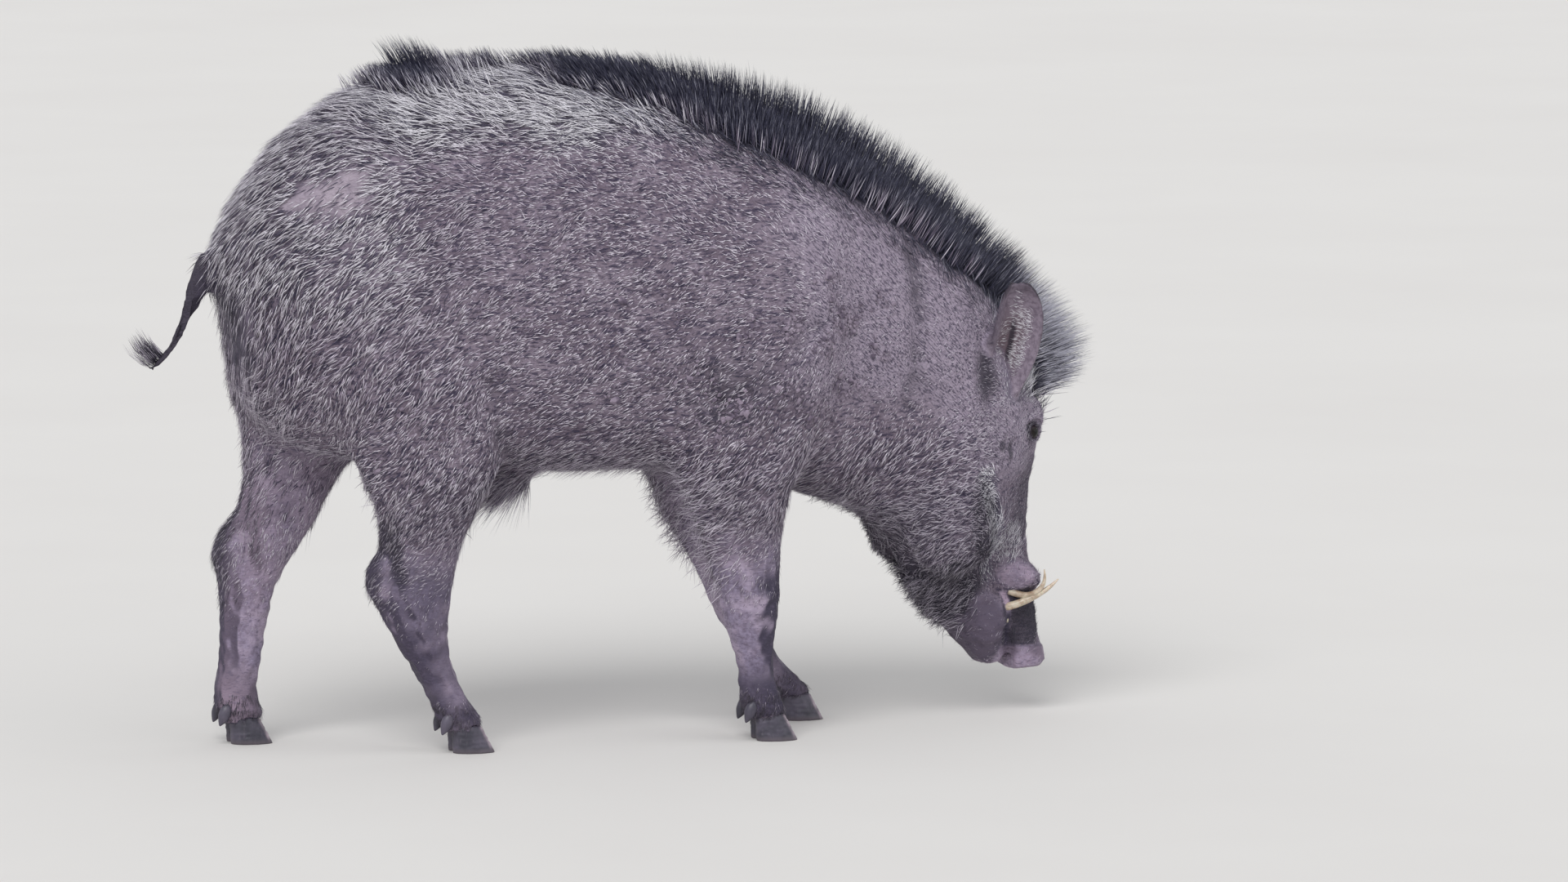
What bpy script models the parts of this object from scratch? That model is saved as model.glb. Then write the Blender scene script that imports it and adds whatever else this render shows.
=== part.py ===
"""A life-size wild boar, an adult male of the Indian race, standing with its head lowered to the ground.

World frame: metres, +Z up, the boar faces +X, and its left side is towards +Y. The soles stand on
z = 0, and the origin is under the middle of the whole model's box.

The flesh is modelled whole. Lofts along the trunk, the muzzle, the tail and each leg are fused and
smoothed into one body. Thin cuts then part that body into the head, lower jaw, neck, trunk, tail and the
two lengths of each leg. Eyes, tusks, ears, snout disc, hooves and the standing hair of the mane and tufts
are solids of their own. Every solid is drawn to the tips of the coat. The head and neck are modelled
looking straight ahead, and bend_neck turns them to the boar's left.
"""
import math

import bmesh
import bpy
from mathutils import Matrix, Vector
from mathutils.bvhtree import BVHTree

# ---------------------------------------------------------------- driving dimensions, in metres and degrees
GAP = 0.0003                    # clearance between touching solids
BACK_HEIGHT = 0.915             # top of the back above the soles
FORE_STANCE = 0.085             # half the distance between the fore feet
HIND_STANCE = 0.080             # half the distance between the hind feet

NECK_TURN = math.radians(14)    # how far the head is turned to the left
NECK_BEND_START = 0.10          # the neck begins to turn here
NECK_BEND_END = 0.46            # and has turned fully here

VOXEL = 0.007                   # grain of the fused flesh
SMOOTHING_PASSES = 4            # over all the flesh
PLAIN_PASSES = 40               # more on the trunk, none on the head and the feet
BODY_TRIANGLES = 3050           # what the fused flesh is thinned to
HEAD_DETAIL = 0.90              # how much less the head and feet are smoothed than the trunk, up to 1
DETAIL_BIAS = 0.03              # and how much less they are thinned
RING_POINTS = 28
STEPS_BETWEEN_SECTIONS = 4

EYE_RADIUS = 0.0115
EYE_PROUD = 0.0026              # how far the eyeball stands out of the flesh
EYE_PLACE = (0.566, 0.391)      # where the eye sits along x and z
EAR_LENGTH = 0.156
EAR_HALF_WIDTH = 0.033
EAR_THICKNESS = 0.007
TOE_SPREAD = 0.021              # each main toe's distance from the middle of the foot
DEWCLAW_SPREAD = 0.027
LOWER_TUSK = ((0.538, 0.026, 0.143), (0.553, 0.042, 0.150), (0.586, 0.061, 0.162), (0.612, 0.073, 0.184))
UPPER_TUSK = ((0.552, 0.030, 0.174), (0.560, 0.048, 0.167), (0.579, 0.063, 0.166), (0.597, 0.070, 0.180),
              (0.594, 0.069, 0.199))
RUMP_TUFT = ((-0.225, 0, 0.890, 0.010), (-0.258, 0, 0.910, 0.026), (-0.292, 0, 0.928, 0.024),
             (-0.324, 0, 0.942, 0.013), (-0.347, 0, 0.944, 0.004))
COAT_COLOUR = (0.055, 0.042, 0.040, 1)
SKIN_COLOUR = (0.12, 0.085, 0.085, 1)
MANE_COLOUR = (0.012, 0.011, 0.013, 1)
HORN_COLOUR = (0.09, 0.07, 0.065, 1)
IVORY_COLOUR = (0.72, 0.62, 0.42, 1)
EYE_COLOUR = (0.015, 0.008, 0.005, 1)


# ---------------------------------------------------------------- small tools
def clear_scene():
    for obj in list(bpy.data.objects):
        bpy.data.objects.remove(obj)


def material(name, colour, roughness):
    made = bpy.data.materials.get(name) or bpy.data.materials.new(name)
    made.use_nodes = True
    shader = made.node_tree.nodes["Principled BSDF"]
    shader.inputs["Base Color"].default_value = colour
    shader.inputs["Roughness"].default_value = roughness
    shader.inputs["Metallic"].default_value = 0.0
    return made


def new_object(name, bm, finish=None):
    """A mesh object from bm, which is freed."""
    mesh = bpy.data.meshes.new(name)
    bmesh.ops.recalc_face_normals(bm, faces=bm.faces)
    bm.to_mesh(mesh)
    bm.free()
    obj = bpy.data.objects.new(name, mesh)
    bpy.context.scene.collection.objects.link(obj)
    if finish:
        mesh.materials.append(finish)
    return obj


def evaluated(obj):
    """The object's mesh with its modifiers, as a bmesh."""
    bpy.context.view_layer.update()
    graph = bpy.context.evaluated_depsgraph_get()
    bm = bmesh.new()
    bm.from_object(obj, graph)
    return bm


def apply_modifiers(obj):
    bm = evaluated(obj)
    obj.modifiers.clear()
    bm.to_mesh(obj.data)
    bm.free()


def boolean(obj, cutter, operation):
    """Cuts obj with cutter, or keeps what they share, and applies it."""
    step = obj.modifiers.new(operation.title(), "BOOLEAN")
    step.operation = operation
    step.solver = "EXACT"
    step.use_self = True
    step.object = cutter
    apply_modifiers(obj)


def copy_of(obj, name):
    made = bpy.data.objects.new(name, obj.data.copy())
    bpy.context.scene.collection.objects.link(made)
    return made


def remove(*objects):
    for obj in objects:
        bpy.data.objects.remove(obj)


def swollen(obj, by, name):
    """A copy of obj grown by a small distance along its normals, which cuts a neighbour with a gap."""
    made = copy_of(obj, name)
    normals = [vertex.normal.copy() for vertex in made.data.vertices]
    for vertex, normal in zip(made.data.vertices, normals):
        vertex.co += normal * by
    return made


def keep_largest_piece(obj):
    """Drops crumbs that a cut leaves, and keeps the largest connected piece."""
    bm = bmesh.new()
    bm.from_mesh(obj.data)
    left = set(bm.faces)
    pieces = []
    while left:
        todo = [left.pop()]
        piece = list(todo)
        while todo:
            for edge in todo.pop().edges:
                for face in edge.link_faces:
                    if face in left:
                        left.remove(face)
                        todo.append(face)
                        piece.append(face)
        pieces.append(piece)
    pieces.sort(key=len)
    crumbs = [face for piece in pieces[:-1] for face in piece]
    bmesh.ops.delete(bm, geom=crumbs, context="FACES")
    bm.to_mesh(obj.data)
    bm.free()


def smoothly(a, b, c, d, t):
    """Catmull-Rom between b and c."""
    rise = (c - a) * t
    bend = (2 * a - 5 * b + 4 * c - d) * t * t
    twist = (3 * b - a - 3 * c + d) * t ** 3
    return 0.5 * (2 * b + rise + bend + twist)


def densified(rows, steps):
    """Rows of equal length with smooth in-between rows added."""
    out = []
    last = len(rows) - 1
    for i in range(last):
        four = [rows[min(max(k, 0), last)] for k in (i - 1, i, i + 1, i + 2)]
        for step in range(steps):
            t = step / steps
            out.append([smoothly(*column, t) for column in zip(*four)])
    out.append(list(rows[-1]))
    return out


def loft(bm, sections, squareness=1.0, narrow_top=0.0, steps=STEPS_BETWEEN_SECTIONS, points=RING_POINTS):
    """A closed skin through oval sections.

    A section is (x1, z1, x2, z2, y, half_width). Its two points (x1, z1) and (x2, z2) lie on the side
    view's outline, such as on the back and the belly, y is its middle plane, and half_width is measured
    across the body.
    A squareness under 1 fills the oval's corners, and narrow_top makes the first point's side the narrower.
    """
    rings = []
    for x1, z1, x2, z2, y, half_width in densified(sections, steps):
        centre = Vector(((x1 + x2) / 2, y, (z1 + z2) / 2))
        reach = Vector((x1, y, z1)) - centre
        ring = []
        for k in range(points):
            angle = 2 * math.pi * k / points
            up, side = math.cos(angle), math.sin(angle)
            along = math.copysign(abs(up) ** squareness, up)
            across = math.copysign(abs(side) ** squareness, side) * (1 - narrow_top * up)
            ring.append(bm.verts.new(centre + reach * along + Vector((0, half_width * across, 0))))
        rings.append(ring)
    for ring, following in zip(rings, rings[1:]):
        for k in range(points):
            n = (k + 1) % points
            bm.faces.new((ring[k], ring[n], following[n], following[k]))
    bm.faces.new(rings[0])
    bm.faces.new(rings[-1])


def ellipsoid(bm, centre, radii, tilt=0.0):
    """A ball stretched to radii, tipped about Y by tilt degrees."""
    turn = Matrix.Rotation(math.radians(tilt), 4, "Y")
    place = Matrix.Translation(centre) @ turn @ Matrix.Diagonal((*radii, 1))
    bmesh.ops.create_uvsphere(bm, u_segments=24, v_segments=14, radius=1.0, matrix=place)


def box(name, low, high, place=Matrix.Identity(4)):
    """A box cutter with corners low and high, moved by place."""
    bm = bmesh.new()
    bmesh.ops.create_cube(bm, size=1.0)
    for vertex in bm.verts:
        for axis in range(3):
            vertex.co[axis] = low[axis] if vertex.co[axis] < 0 else high[axis]
    bm.transform(place)
    return new_object(name, bm)


def bend_point(point):
    """Where a point of the straight neck or head goes when the neck turns to the left."""
    length = NECK_BEND_END - NECK_BEND_START
    along = min(max(point.x - NECK_BEND_START, 0.0), length)
    angle = NECK_TURN * along / length
    radius = length / NECK_TURN
    beyond = min(point.x - NECK_BEND_START, 0.0) + max(point.x - NECK_BEND_END, 0.0)
    x = NECK_BEND_START + radius * math.sin(angle) + beyond * math.cos(angle) - point.y * math.sin(angle)
    y = radius * (1 - math.cos(angle)) + beyond * math.sin(angle) + point.y * math.cos(angle)
    return Vector((x, y, point.z))


def bend_neck(bm):
    for vertex in bm.verts:
        vertex.co = bend_point(vertex.co)


# ---------------------------------------------------------------- the flesh
def trunk_and_head(bm):
    """The back and belly line from the rump to the brow, as one loft of sections."""
    top = BACK_HEIGHT
    loft(bm, [
        # back x, back z, belly x, belly z, y, half width
        (-0.568, 0.655, -0.546, 0.588, 0, 0.034),        # under the tail root
        (-0.541, top - 0.192, -0.522, 0.480, 0, 0.090),  # buttocks
        (-0.494, top - 0.122, -0.485, 0.425, 0, 0.122),
        (-0.426, top - 0.061, -0.428, 0.395, 0, 0.145),  # hips
        (-0.340, top - 0.018, -0.340, 0.380, 0, 0.155),
        (-0.230, top - 0.004, -0.235, 0.368, 0, 0.160),  # loins and flank
        (-0.110, top, -0.115, 0.360, 0, 0.168),
        (0.000, top - 0.006, 0.000, 0.358, 0, 0.168),    # ribs
        (0.090, top - 0.034, 0.090, 0.352, 0, 0.158),
        (0.180, top - 0.075, 0.170, 0.340, 0, 0.148),    # withers and brisket
        (0.275, top - 0.122, 0.235, 0.322, 0, 0.138),
        (0.368, top - 0.178, 0.290, 0.305, 0, 0.130),    # neck
        (0.450, top - 0.240, 0.335, 0.288, 0, 0.122),
        (0.515, top - 0.303, 0.365, 0.268, 0, 0.116),
        (0.565, top - 0.365, 0.388, 0.243, 0, 0.110),    # nape
        (0.590, top - 0.425, 0.405, 0.222, 0, 0.104),    # ears and jowls
        (0.602, top - 0.485, 0.418, 0.200, 0, 0.092),    # brow
        (0.600, top - 0.540, 0.430, 0.178, 0, 0.076),    # eyes
        (0.590, top - 0.597, 0.445, 0.165, 0, 0.058),
    ], squareness=0.92, narrow_top=0.10)


def upper_jaw(bm):
    """The muzzle from below the eyes to the rim of the snout."""
    loft(bm, [
        (0.607, 0.360, 0.470, 0.260, 0, 0.060),
        (0.600, 0.315, 0.480, 0.222, 0, 0.053),
        (0.597, 0.262, 0.505, 0.195, 0, 0.047),
        (0.599, 0.215, 0.528, 0.172, 0, 0.044),
        (0.605, 0.178, 0.545, 0.150, 0, 0.044),
        (0.610, 0.145, 0.556, 0.126, 0, 0.040),
        (0.616, 0.112, 0.562, 0.098, 0, 0.038),
        (0.624, 0.086, 0.562, 0.074, 0, 0.040),
        (0.626, 0.070, 0.564, 0.062, 0, 0.039),
        (0.621, 0.062, 0.572, 0.057, 0, 0.032),
    ], squareness=0.9, narrow_top=0.05)


def lower_jaw(bm):
    """The jaw from the cheek to the chin, with its beard."""
    loft(bm, [
        (0.530, 0.300, 0.395, 0.235, 0, 0.060),
        (0.525, 0.245, 0.412, 0.195, 0, 0.056),
        (0.535, 0.195, 0.442, 0.155, 0, 0.050),
        (0.548, 0.155, 0.470, 0.123, 0, 0.044),
        (0.558, 0.120, 0.493, 0.099, 0, 0.040),
        (0.562, 0.092, 0.512, 0.079, 0, 0.035),
        (0.556, 0.070, 0.528, 0.063, 0, 0.024),
    ], squareness=0.95)


def head_masses(bm):
    """What stands out from the plain wedge of the head: brows, cheeks, jowls and lips."""
    ellipsoid(bm, (0.566, 0, 0.402), (0.043, 0.067, 0.088))                           # forehead
    for side in (-1, 1):
        ellipsoid(bm, (0.572, side * 0.058, 0.412), (0.027, 0.020, 0.028))            # brow
        ellipsoid(bm, (0.522, side * 0.066, 0.362), (0.040, 0.022, 0.050), 20)        # cheekbone
        ellipsoid(bm, (0.460, side * 0.062, 0.285), (0.075, 0.048, 0.085), 35)        # jowl
        ellipsoid(bm, (0.580, side * 0.038, 0.186), (0.026, 0.022, 0.022))            # upper tusk's lip
        ellipsoid(bm, (0.530, side * 0.034, 0.130), (0.024, 0.018, 0.040), 20)        # lower tusk's lip


def fore_leg(bm, side, reach):
    """Shoulder, forearm and cannon. reach puts the foot further forward."""
    y = side * FORE_STANCE
    loft(bm, [
        # rear x, rear z, front x, front z, y, half width
        (0.110, 0.790, 0.260, 0.770, side * 0.060, 0.030),          # top of the shoulder blade
        (0.060, 0.700, 0.300, 0.680, side * 0.085, 0.062),
        (0.030, 0.580, 0.300, 0.570, side * 0.095, 0.072),
        (0.020, 0.470, 0.275, 0.460, side * 0.100, 0.070),          # point of the shoulder
        (0.038, 0.395, 0.235, 0.380, side * 0.098, 0.062),          # elbow
        (0.062, 0.330, 0.212, 0.325, side * 0.094, 0.052),
        (0.086, 0.275, 0.203 + reach * 0.1, 0.270, y, 0.041),
        (0.103 + reach * 0.2, 0.222, 0.199 + reach * 0.3, 0.220, y, 0.036),
        (0.114 + reach * 0.3, 0.180, 0.198 + reach * 0.45, 0.178, y, 0.037),   # knee
        (0.127 + reach * 0.4, 0.135, 0.192 + reach * 0.45, 0.135, y, 0.029),
        (0.138 + reach * 0.6, 0.095, 0.190 + reach * 0.6, 0.095, y, 0.026),    # cannon
        (0.140 + reach * 0.8, 0.060, 0.198 + reach * 0.8, 0.064, y, 0.031),    # fetlock
        (0.148 + reach, 0.034, 0.206 + reach, 0.040, y, 0.030),
        (0.160 + reach, 0.022, 0.202 + reach, 0.024, y, 0.026),
    ], squareness=0.95)


def hind_leg(bm, side, near):
    """Haunch, shank and cannon. The right leg is swung forward under the belly, and the left one back."""
    y = side * HIND_STANCE
    if near:
        haunch = [
            (-0.420, 0.800, -0.300, 0.820, side * 0.060, 0.030),
            (-0.490, 0.700, -0.240, 0.720, side * 0.085, 0.062),
            (-0.500, 0.600, -0.195, 0.590, side * 0.092, 0.072),
            (-0.465, 0.500, -0.170, 0.480, side * 0.098, 0.070),       # stifle
        ]
        shank = [
            (-0.412, 0.420, -0.180, 0.405, side * 0.098, 0.060),
            (-0.372, 0.345, -0.210, 0.335, side * 0.092, 0.050),
            (-0.356, 0.288, -0.236, 0.282, y, 0.041),
            (-0.368, 0.240, -0.249, 0.232, y, 0.036),                  # hock
            (-0.360, 0.200, -0.256, 0.190, y, 0.033),
            (-0.334, 0.150, -0.257, 0.144, y, 0.028),
            (-0.306, 0.104, -0.246, 0.102, y, 0.026),                  # cannon
            (-0.285, 0.064, -0.228, 0.066, y, 0.030),                  # fetlock
            (-0.272, 0.036, -0.212, 0.042, y, 0.030),
            (-0.258, 0.022, -0.214, 0.024, y, 0.026),
        ]
    else:
        haunch = [
            (-0.440, 0.800, -0.320, 0.820, side * 0.060, 0.030),
            (-0.525, 0.700, -0.270, 0.720, side * 0.085, 0.062),
            (-0.528, 0.600, -0.245, 0.590, side * 0.092, 0.072),
            (-0.522, 0.500, -0.250, 0.480, side * 0.098, 0.070),
        ]
        shank = [
            (-0.508, 0.425, -0.310, 0.410, side * 0.094, 0.060),
            (-0.504, 0.350, -0.368, 0.345, side * 0.088, 0.050),
            (-0.522, 0.296, -0.400, 0.292, y, 0.041),
            (-0.541, 0.255, -0.432, 0.248, y, 0.036),
            (-0.538, 0.215, -0.454, 0.212, y, 0.033),
            (-0.536, 0.165, -0.467, 0.163, y, 0.028),
            (-0.538, 0.112, -0.476, 0.112, y, 0.026),
            (-0.545, 0.066, -0.482, 0.068, y, 0.030),
            (-0.538, 0.036, -0.474, 0.042, y, 0.030),
            (-0.526, 0.022, -0.478, 0.024, y, 0.026),
        ]
    loft(bm, haunch + shank, squareness=0.95)


def sheath(bm):
    """The skin fold under the belly, ahead of the hind legs."""
    ellipsoid(bm, (-0.175, 0, 0.352), (0.060, 0.030, 0.030), 12)


def tube(bm, path, points=12):
    """A round tapering tube through (x, y, z, radius) rows, closed at both ends."""
    rings = []
    for i, (x, y, z, radius) in enumerate(path):
        before, after = Vector(path[max(i - 1, 0)][:3]), Vector(path[min(i + 1, len(path) - 1)][:3])
        along = (after - before).normalized()
        side = along.cross(Vector((0.3, 0.9, 0.2))).normalized()
        other = along.cross(side)
        ring = []
        for k in range(points):
            angle = 2 * math.pi * k / points
            outward = side * math.cos(angle) + other * math.sin(angle)
            ring.append(bm.verts.new(Vector((x, y, z)) + radius * outward))
        rings.append(ring)
    for ring, following in zip(rings, rings[1:]):
        for k in range(points):
            n = (k + 1) % points
            bm.faces.new((ring[k], ring[n], following[n], following[k]))
    bm.faces.new(rings[0])
    bm.faces.new(rings[-1])


def tail(bm):
    """A thin tail that hangs back and down from its root."""
    rows = [
        (-0.530, 0, 0.680, 0.028),
        (-0.560, 0, 0.650, 0.026),
        (-0.582, 0, 0.618, 0.017),
        (-0.594, 0, 0.588, 0.012),
        (-0.607, 0, 0.557, 0.0100),
        (-0.626, 0, 0.530, 0.009),
        (-0.648, 0, 0.516, 0.007),
    ]
    tube(bm, densified(rows, 3), 14)


def weigh_plain_flesh(body):
    """A vertex group for smoothing and thinning: 1 where flesh is plain, less on the head and feet."""
    group = body.vertex_groups.new(name="plain")
    for vertex in body.data.vertices:
        legs = min(max((0.34 - vertex.co.z) / 0.10, 0.0), 1.0)
        head = min(max((vertex.co.x - 0.43) / 0.10, 0.0), 1.0)
        tail_root = 1.0 if vertex.co.x < -0.565 else 0.0
        group.add([vertex.index], 1.0 - HEAD_DETAIL * max(legs, head, tail_root), "REPLACE")


def flesh():
    """All the flesh as one smooth body."""
    bm = bmesh.new()
    trunk_and_head(bm)
    upper_jaw(bm)
    lower_jaw(bm)
    head_masses(bm)
    bend_neck(bm)
    for side, reach in ((-1, 0.0), (1, 0.085)):
        fore_leg(bm, side, reach)
    hind_leg(bm, -1, near=True)
    hind_leg(bm, 1, near=False)
    sheath(bm)
    tail(bm)
    body = new_object("flesh", bm)
    fuse = body.modifiers.new("Fuse", "REMESH")
    fuse.mode = "VOXEL"
    fuse.voxel_size = VOXEL
    apply_modifiers(body)
    weigh_plain_flesh(body)
    for label, group, passes in (("Smooth", "", SMOOTHING_PASSES), ("Soften", "plain", PLAIN_PASSES)):
        smooth = body.modifiers.new(label, "SMOOTH")
        smooth.factor = 0.5
        smooth.iterations = passes
        smooth.vertex_group = group
    apply_modifiers(body)
    thin = body.modifiers.new("Thin", "DECIMATE")
    thin.vertex_group = "plain"
    thin.vertex_group_factor = DETAIL_BIAS
    thin.use_collapse_triangulate = True
    thin.ratio = BODY_TRIANGLES / (2 * len(body.data.polygons))
    apply_modifiers(body)
    return body


# ---------------------------------------------------------------- parting the flesh into named pieces
def prism(name, outline, y1, y2, bend=False):
    """A cutter: a side-view outline of (x, z) points drawn out from y1 to y2."""
    bm = bmesh.new()
    near = [bm.verts.new((x, y1, z)) for x, z in outline]
    far = [bm.verts.new((x, y2, z)) for x, z in outline]
    bm.faces.new(near)
    bm.faces.new(far)
    for i in range(len(outline)):
        n = (i + 1) % len(outline)
        bm.faces.new((near[i], near[n], far[n], far[i]))
    if bend:
        bend_neck(bm)
    bmesh.ops.triangulate(bm, faces=bm.faces)
    return new_object(name, bm)


def arch(middle, half_width, spring, top, floor=-0.1):
    """The outline of a leg's territory: upright sides, and a round head up on the haunch or shoulder."""
    points = [(middle - half_width, floor), (middle + half_width, floor)]
    for k in range(9):
        angle = math.pi * k / 8
        points.append((middle + half_width * math.cos(angle), spring + (top - spring) * math.sin(angle)))
    return points


def part_off(body, cutter, name):
    """What body has inside cutter becomes an object of its own, and body keeps the rest, a gap apart."""
    inner = swollen(cutter, -1.8 * GAP, "inner")
    piece = copy_of(body, name)
    boolean(piece, inner, "INTERSECT")
    boolean(body, cutter, "DIFFERENCE")
    remove(inner, cutter)
    keep_largest_piece(piece)
    keep_largest_piece(body)
    return piece


def part_flesh(body):
    """Divides the flesh into its named pieces. Returns them by name."""
    pieces = {}
    legs = {
        "fore_leg_right": (prism("cut", arch(0.150, 0.150, 0.40, 0.64), -0.30, -0.030), 0.178),
        "fore_leg_left": (prism("cut", arch(0.165, 0.165, 0.40, 0.64), 0.030, 0.30), 0.178),
        "hind_leg_right": (prism("cut", arch(-0.375, 0.222, 0.40, 0.66), -0.30, -0.032), 0.235),
        "hind_leg_left": (prism("cut", arch(-0.400, 0.200, 0.42, 0.68), 0.032, 0.30), 0.250),
    }
    for name, (cutter, joint) in legs.items():
        leg = part_off(body, cutter, name + "_upper")
        pieces[name + "_lower"] = part_off(leg, box("cut", (-1, -1, -0.2), (1, 1, joint)), name + "_lower")
        pieces[name + "_upper"] = leg
    pieces["tail"] = part_off(body, box("cut", (-0.80, -0.05, 0.45), (-0.5755, 0.05, 0.668)), "tail")
    nape = [(0.545, 0.80), (0.480, 0.60), (0.405, 0.40), (0.335, 0.20)]
    skull = nape + [(0.335, -0.1), (0.9, -0.1), (0.9, 0.80)]
    pieces["head"] = part_off(body, prism("cut", skull, -0.30, 0.30, bend=True), "head")
    scruff = [(0.150, 1.1), (0.200, 0.60), (0.262, 0.20), (0.9, 0.20), (0.9, 1.1)]
    pieces["neck"] = part_off(body, prism("cut", scruff, -0.30, 0.30), "neck")
    mouth = [(0.539, 0.172), (0.536, 0.176), (0.560, 0.100), (0.558, 0.02), (0.572, 0.02), (0.566, 0.100)]
    gape = prism("cut", mouth, -0.10, 0.10, bend=True)
    boolean(pieces["head"], gape, "DIFFERENCE")
    remove(gape)
    keep_largest_piece(pieces["head"])
    jaw = [(0.565, 0.02), (0.563, 0.100), (0.5385, 0.174), (0.470, 0.225), (0.30, 0.215), (0.30, 0.02)]
    pieces["lower_jaw"] = part_off(pieces["head"], prism("cut", jaw, -0.12, 0.12, bend=True), "lower_jaw")
    rim = [(0.540, 0.073), (0.640, 0.090), (0.70, 0.02), (0.540, 0.02)]
    pieces["snout_disc"] = part_off(pieces["head"], prism("cut", rim, -0.08, 0.08, bend=True), "snout_disc")
    body.name = "trunk"
    pieces["trunk"] = body
    return pieces


# ---------------------------------------------------------------- horn, ivory, eyes, ears and standing hair
def clear_of(obj, others, gap=GAP):
    """Cuts obj back wherever it would enter one of the others."""
    for other in others:
        grown = swollen(other, gap, "grown")
        boolean(obj, grown, "DIFFERENCE")
        remove(grown)
    keep_largest_piece(obj)


def eye(name, side, body, finish):
    """An eyeball, set so that it stands just proud of the flesh, where the flesh is met from outside."""
    outside = bend_point(Vector((EYE_PLACE[0] + 0.060, side * 0.25, EYE_PLACE[1])))
    aim = (bend_point(Vector((EYE_PLACE[0], side * 0.050, EYE_PLACE[1]))) - outside).normalized()
    surface = BVHTree.FromObject(body, bpy.context.evaluated_depsgraph_get()).ray_cast(outside, aim)[0]
    bm = bmesh.new()
    centre = surface + aim * (EYE_RADIUS - EYE_PROUD)
    bmesh.ops.create_icosphere(bm, subdivisions=2, radius=EYE_RADIUS, matrix=Matrix.Translation(centre))
    return new_object(name, bm, finish)


def ear(name, side, finish):
    """A cupped leaf that stands up and out from the back of the skull, its hollow to the side."""
    rows, columns = 8, 6
    root = Vector((0.505, side * 0.074, 0.446))
    bm = bmesh.new()
    grid = []
    for i in range(rows + 1):
        v = math.sin(math.pi / 2 * i / rows)
        round_top = math.sqrt(max(1 - (max(v - 0.55, 0) / 0.45) ** 2, 0.04))
        width = EAR_HALF_WIDTH * min(0.85 + 0.5 * v, 1.0) * round_top
        row = []
        for j in range(columns + 1):
            u = 2 * j / columns - 1
            cup = 0.026 * (1 - u * u) * (1 - 0.55 * v)
            x = width * u + 0.010 * v + 0.010 * math.sin(3 * v)
            y = side * (0.034 * v + 0.010 * math.sin(2.4 * v) - cup + 0.012 + 0.010 * u)
            row.append(bm.verts.new(root + Vector((x, y, EAR_LENGTH * v))))
        grid.append(row)
    for i in range(rows):
        for j in range(columns):
            bm.faces.new((grid[i][j], grid[i][j + 1], grid[i + 1][j + 1], grid[i + 1][j]))
    bend_neck(bm)
    made = new_object(name, bm, finish)
    thicken = made.modifiers.new("Thicken", "SOLIDIFY")
    thicken.thickness = EAR_THICKNESS
    thicken.offset = 0
    soften = made.modifiers.new("Soften", "SMOOTH")
    soften.iterations = 1
    apply_modifiers(made)
    return made


def tusk(name, side, points, radius, finish):
    """A tapering tusk through (x, y, z) points, y being measured outwards on its own side."""
    rows = densified([(x, side * y, z) for x, y, z in points], 3)
    last = len(rows) - 1
    bm = bmesh.new()
    tube(bm, [(*row, radius * (1 - i / last) ** 0.55 + 0.0013) for i, row in enumerate(rows)], 7)
    bend_neck(bm)
    return new_object(name, bm, finish)


def hoof(name, centre, length, width, height, toe_out, finish, taper=0.30):
    """One toe's horn: a flat sole, a sloping front wall that draws in by taper, and a rounded toe."""
    x, y, z = centre
    rows = []
    for level in (0.0, 0.45, 1.0):
        row = []
        for j in range(10):
            angle = 2 * math.pi * j / 10
            along, across = math.cos(angle), math.sin(angle)
            reach = length / 2 * (1 - taper * level)
            ahead = along * reach - 0.18 * length * level
            wide = across * width / 2 * (1 - 0.22 * level) * (1 - 0.20 * max(along, 0))
            row.append((ahead, wide, z + height * level))
        rows.append(row)
    bm = bmesh.new()
    turn = Matrix.Rotation(toe_out, 3, "Z")
    rings = [[bm.verts.new(turn @ Vector(point) + Vector((x, y, 0))) for point in row] for row in rows]
    for ring, following in zip(rings, rings[1:]):
        for k in range(10):
            n = (k + 1) % 10
            bm.faces.new((ring[k], ring[n], following[n], following[k]))
    bm.faces.new(rings[0])
    bm.faces.new(rings[-1])
    return new_object(name, bm, finish)


def feet(finish):
    """Two hooves and two dewclaws for each foot, as {leg: [objects]}."""
    soles = {
        "fore_leg_right": (0.186, -FORE_STANCE),
        "fore_leg_left": (0.271, FORE_STANCE),
        "hind_leg_right": (-0.232, -HIND_STANCE),
        "hind_leg_left": (-0.498, HIND_STANCE),
    }
    made = {}
    for leg, (x, y) in soles.items():
        toes = []
        for label, across in (("outer", math.copysign(1, y)), ("inner", -math.copysign(1, y))):
            toe_y = y + across * TOE_SPREAD * 0.72
            toe = (x + 0.004, toe_y, 0.0)
            toes.append(hoof(f"{leg}_hoof_{label}", toe, 0.057, 0.029, 0.036, across * 0.10, finish))
            claw = (x - 0.037, y + across * DEWCLAW_SPREAD * 0.75, 0.020)
            toes.append(hoof(f"{leg}_dewclaw_{label}", claw, 0.022, 0.015, 0.024, across * 0.25, finish,
                             taper=-0.10))
        made[leg] = toes
    return made


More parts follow.
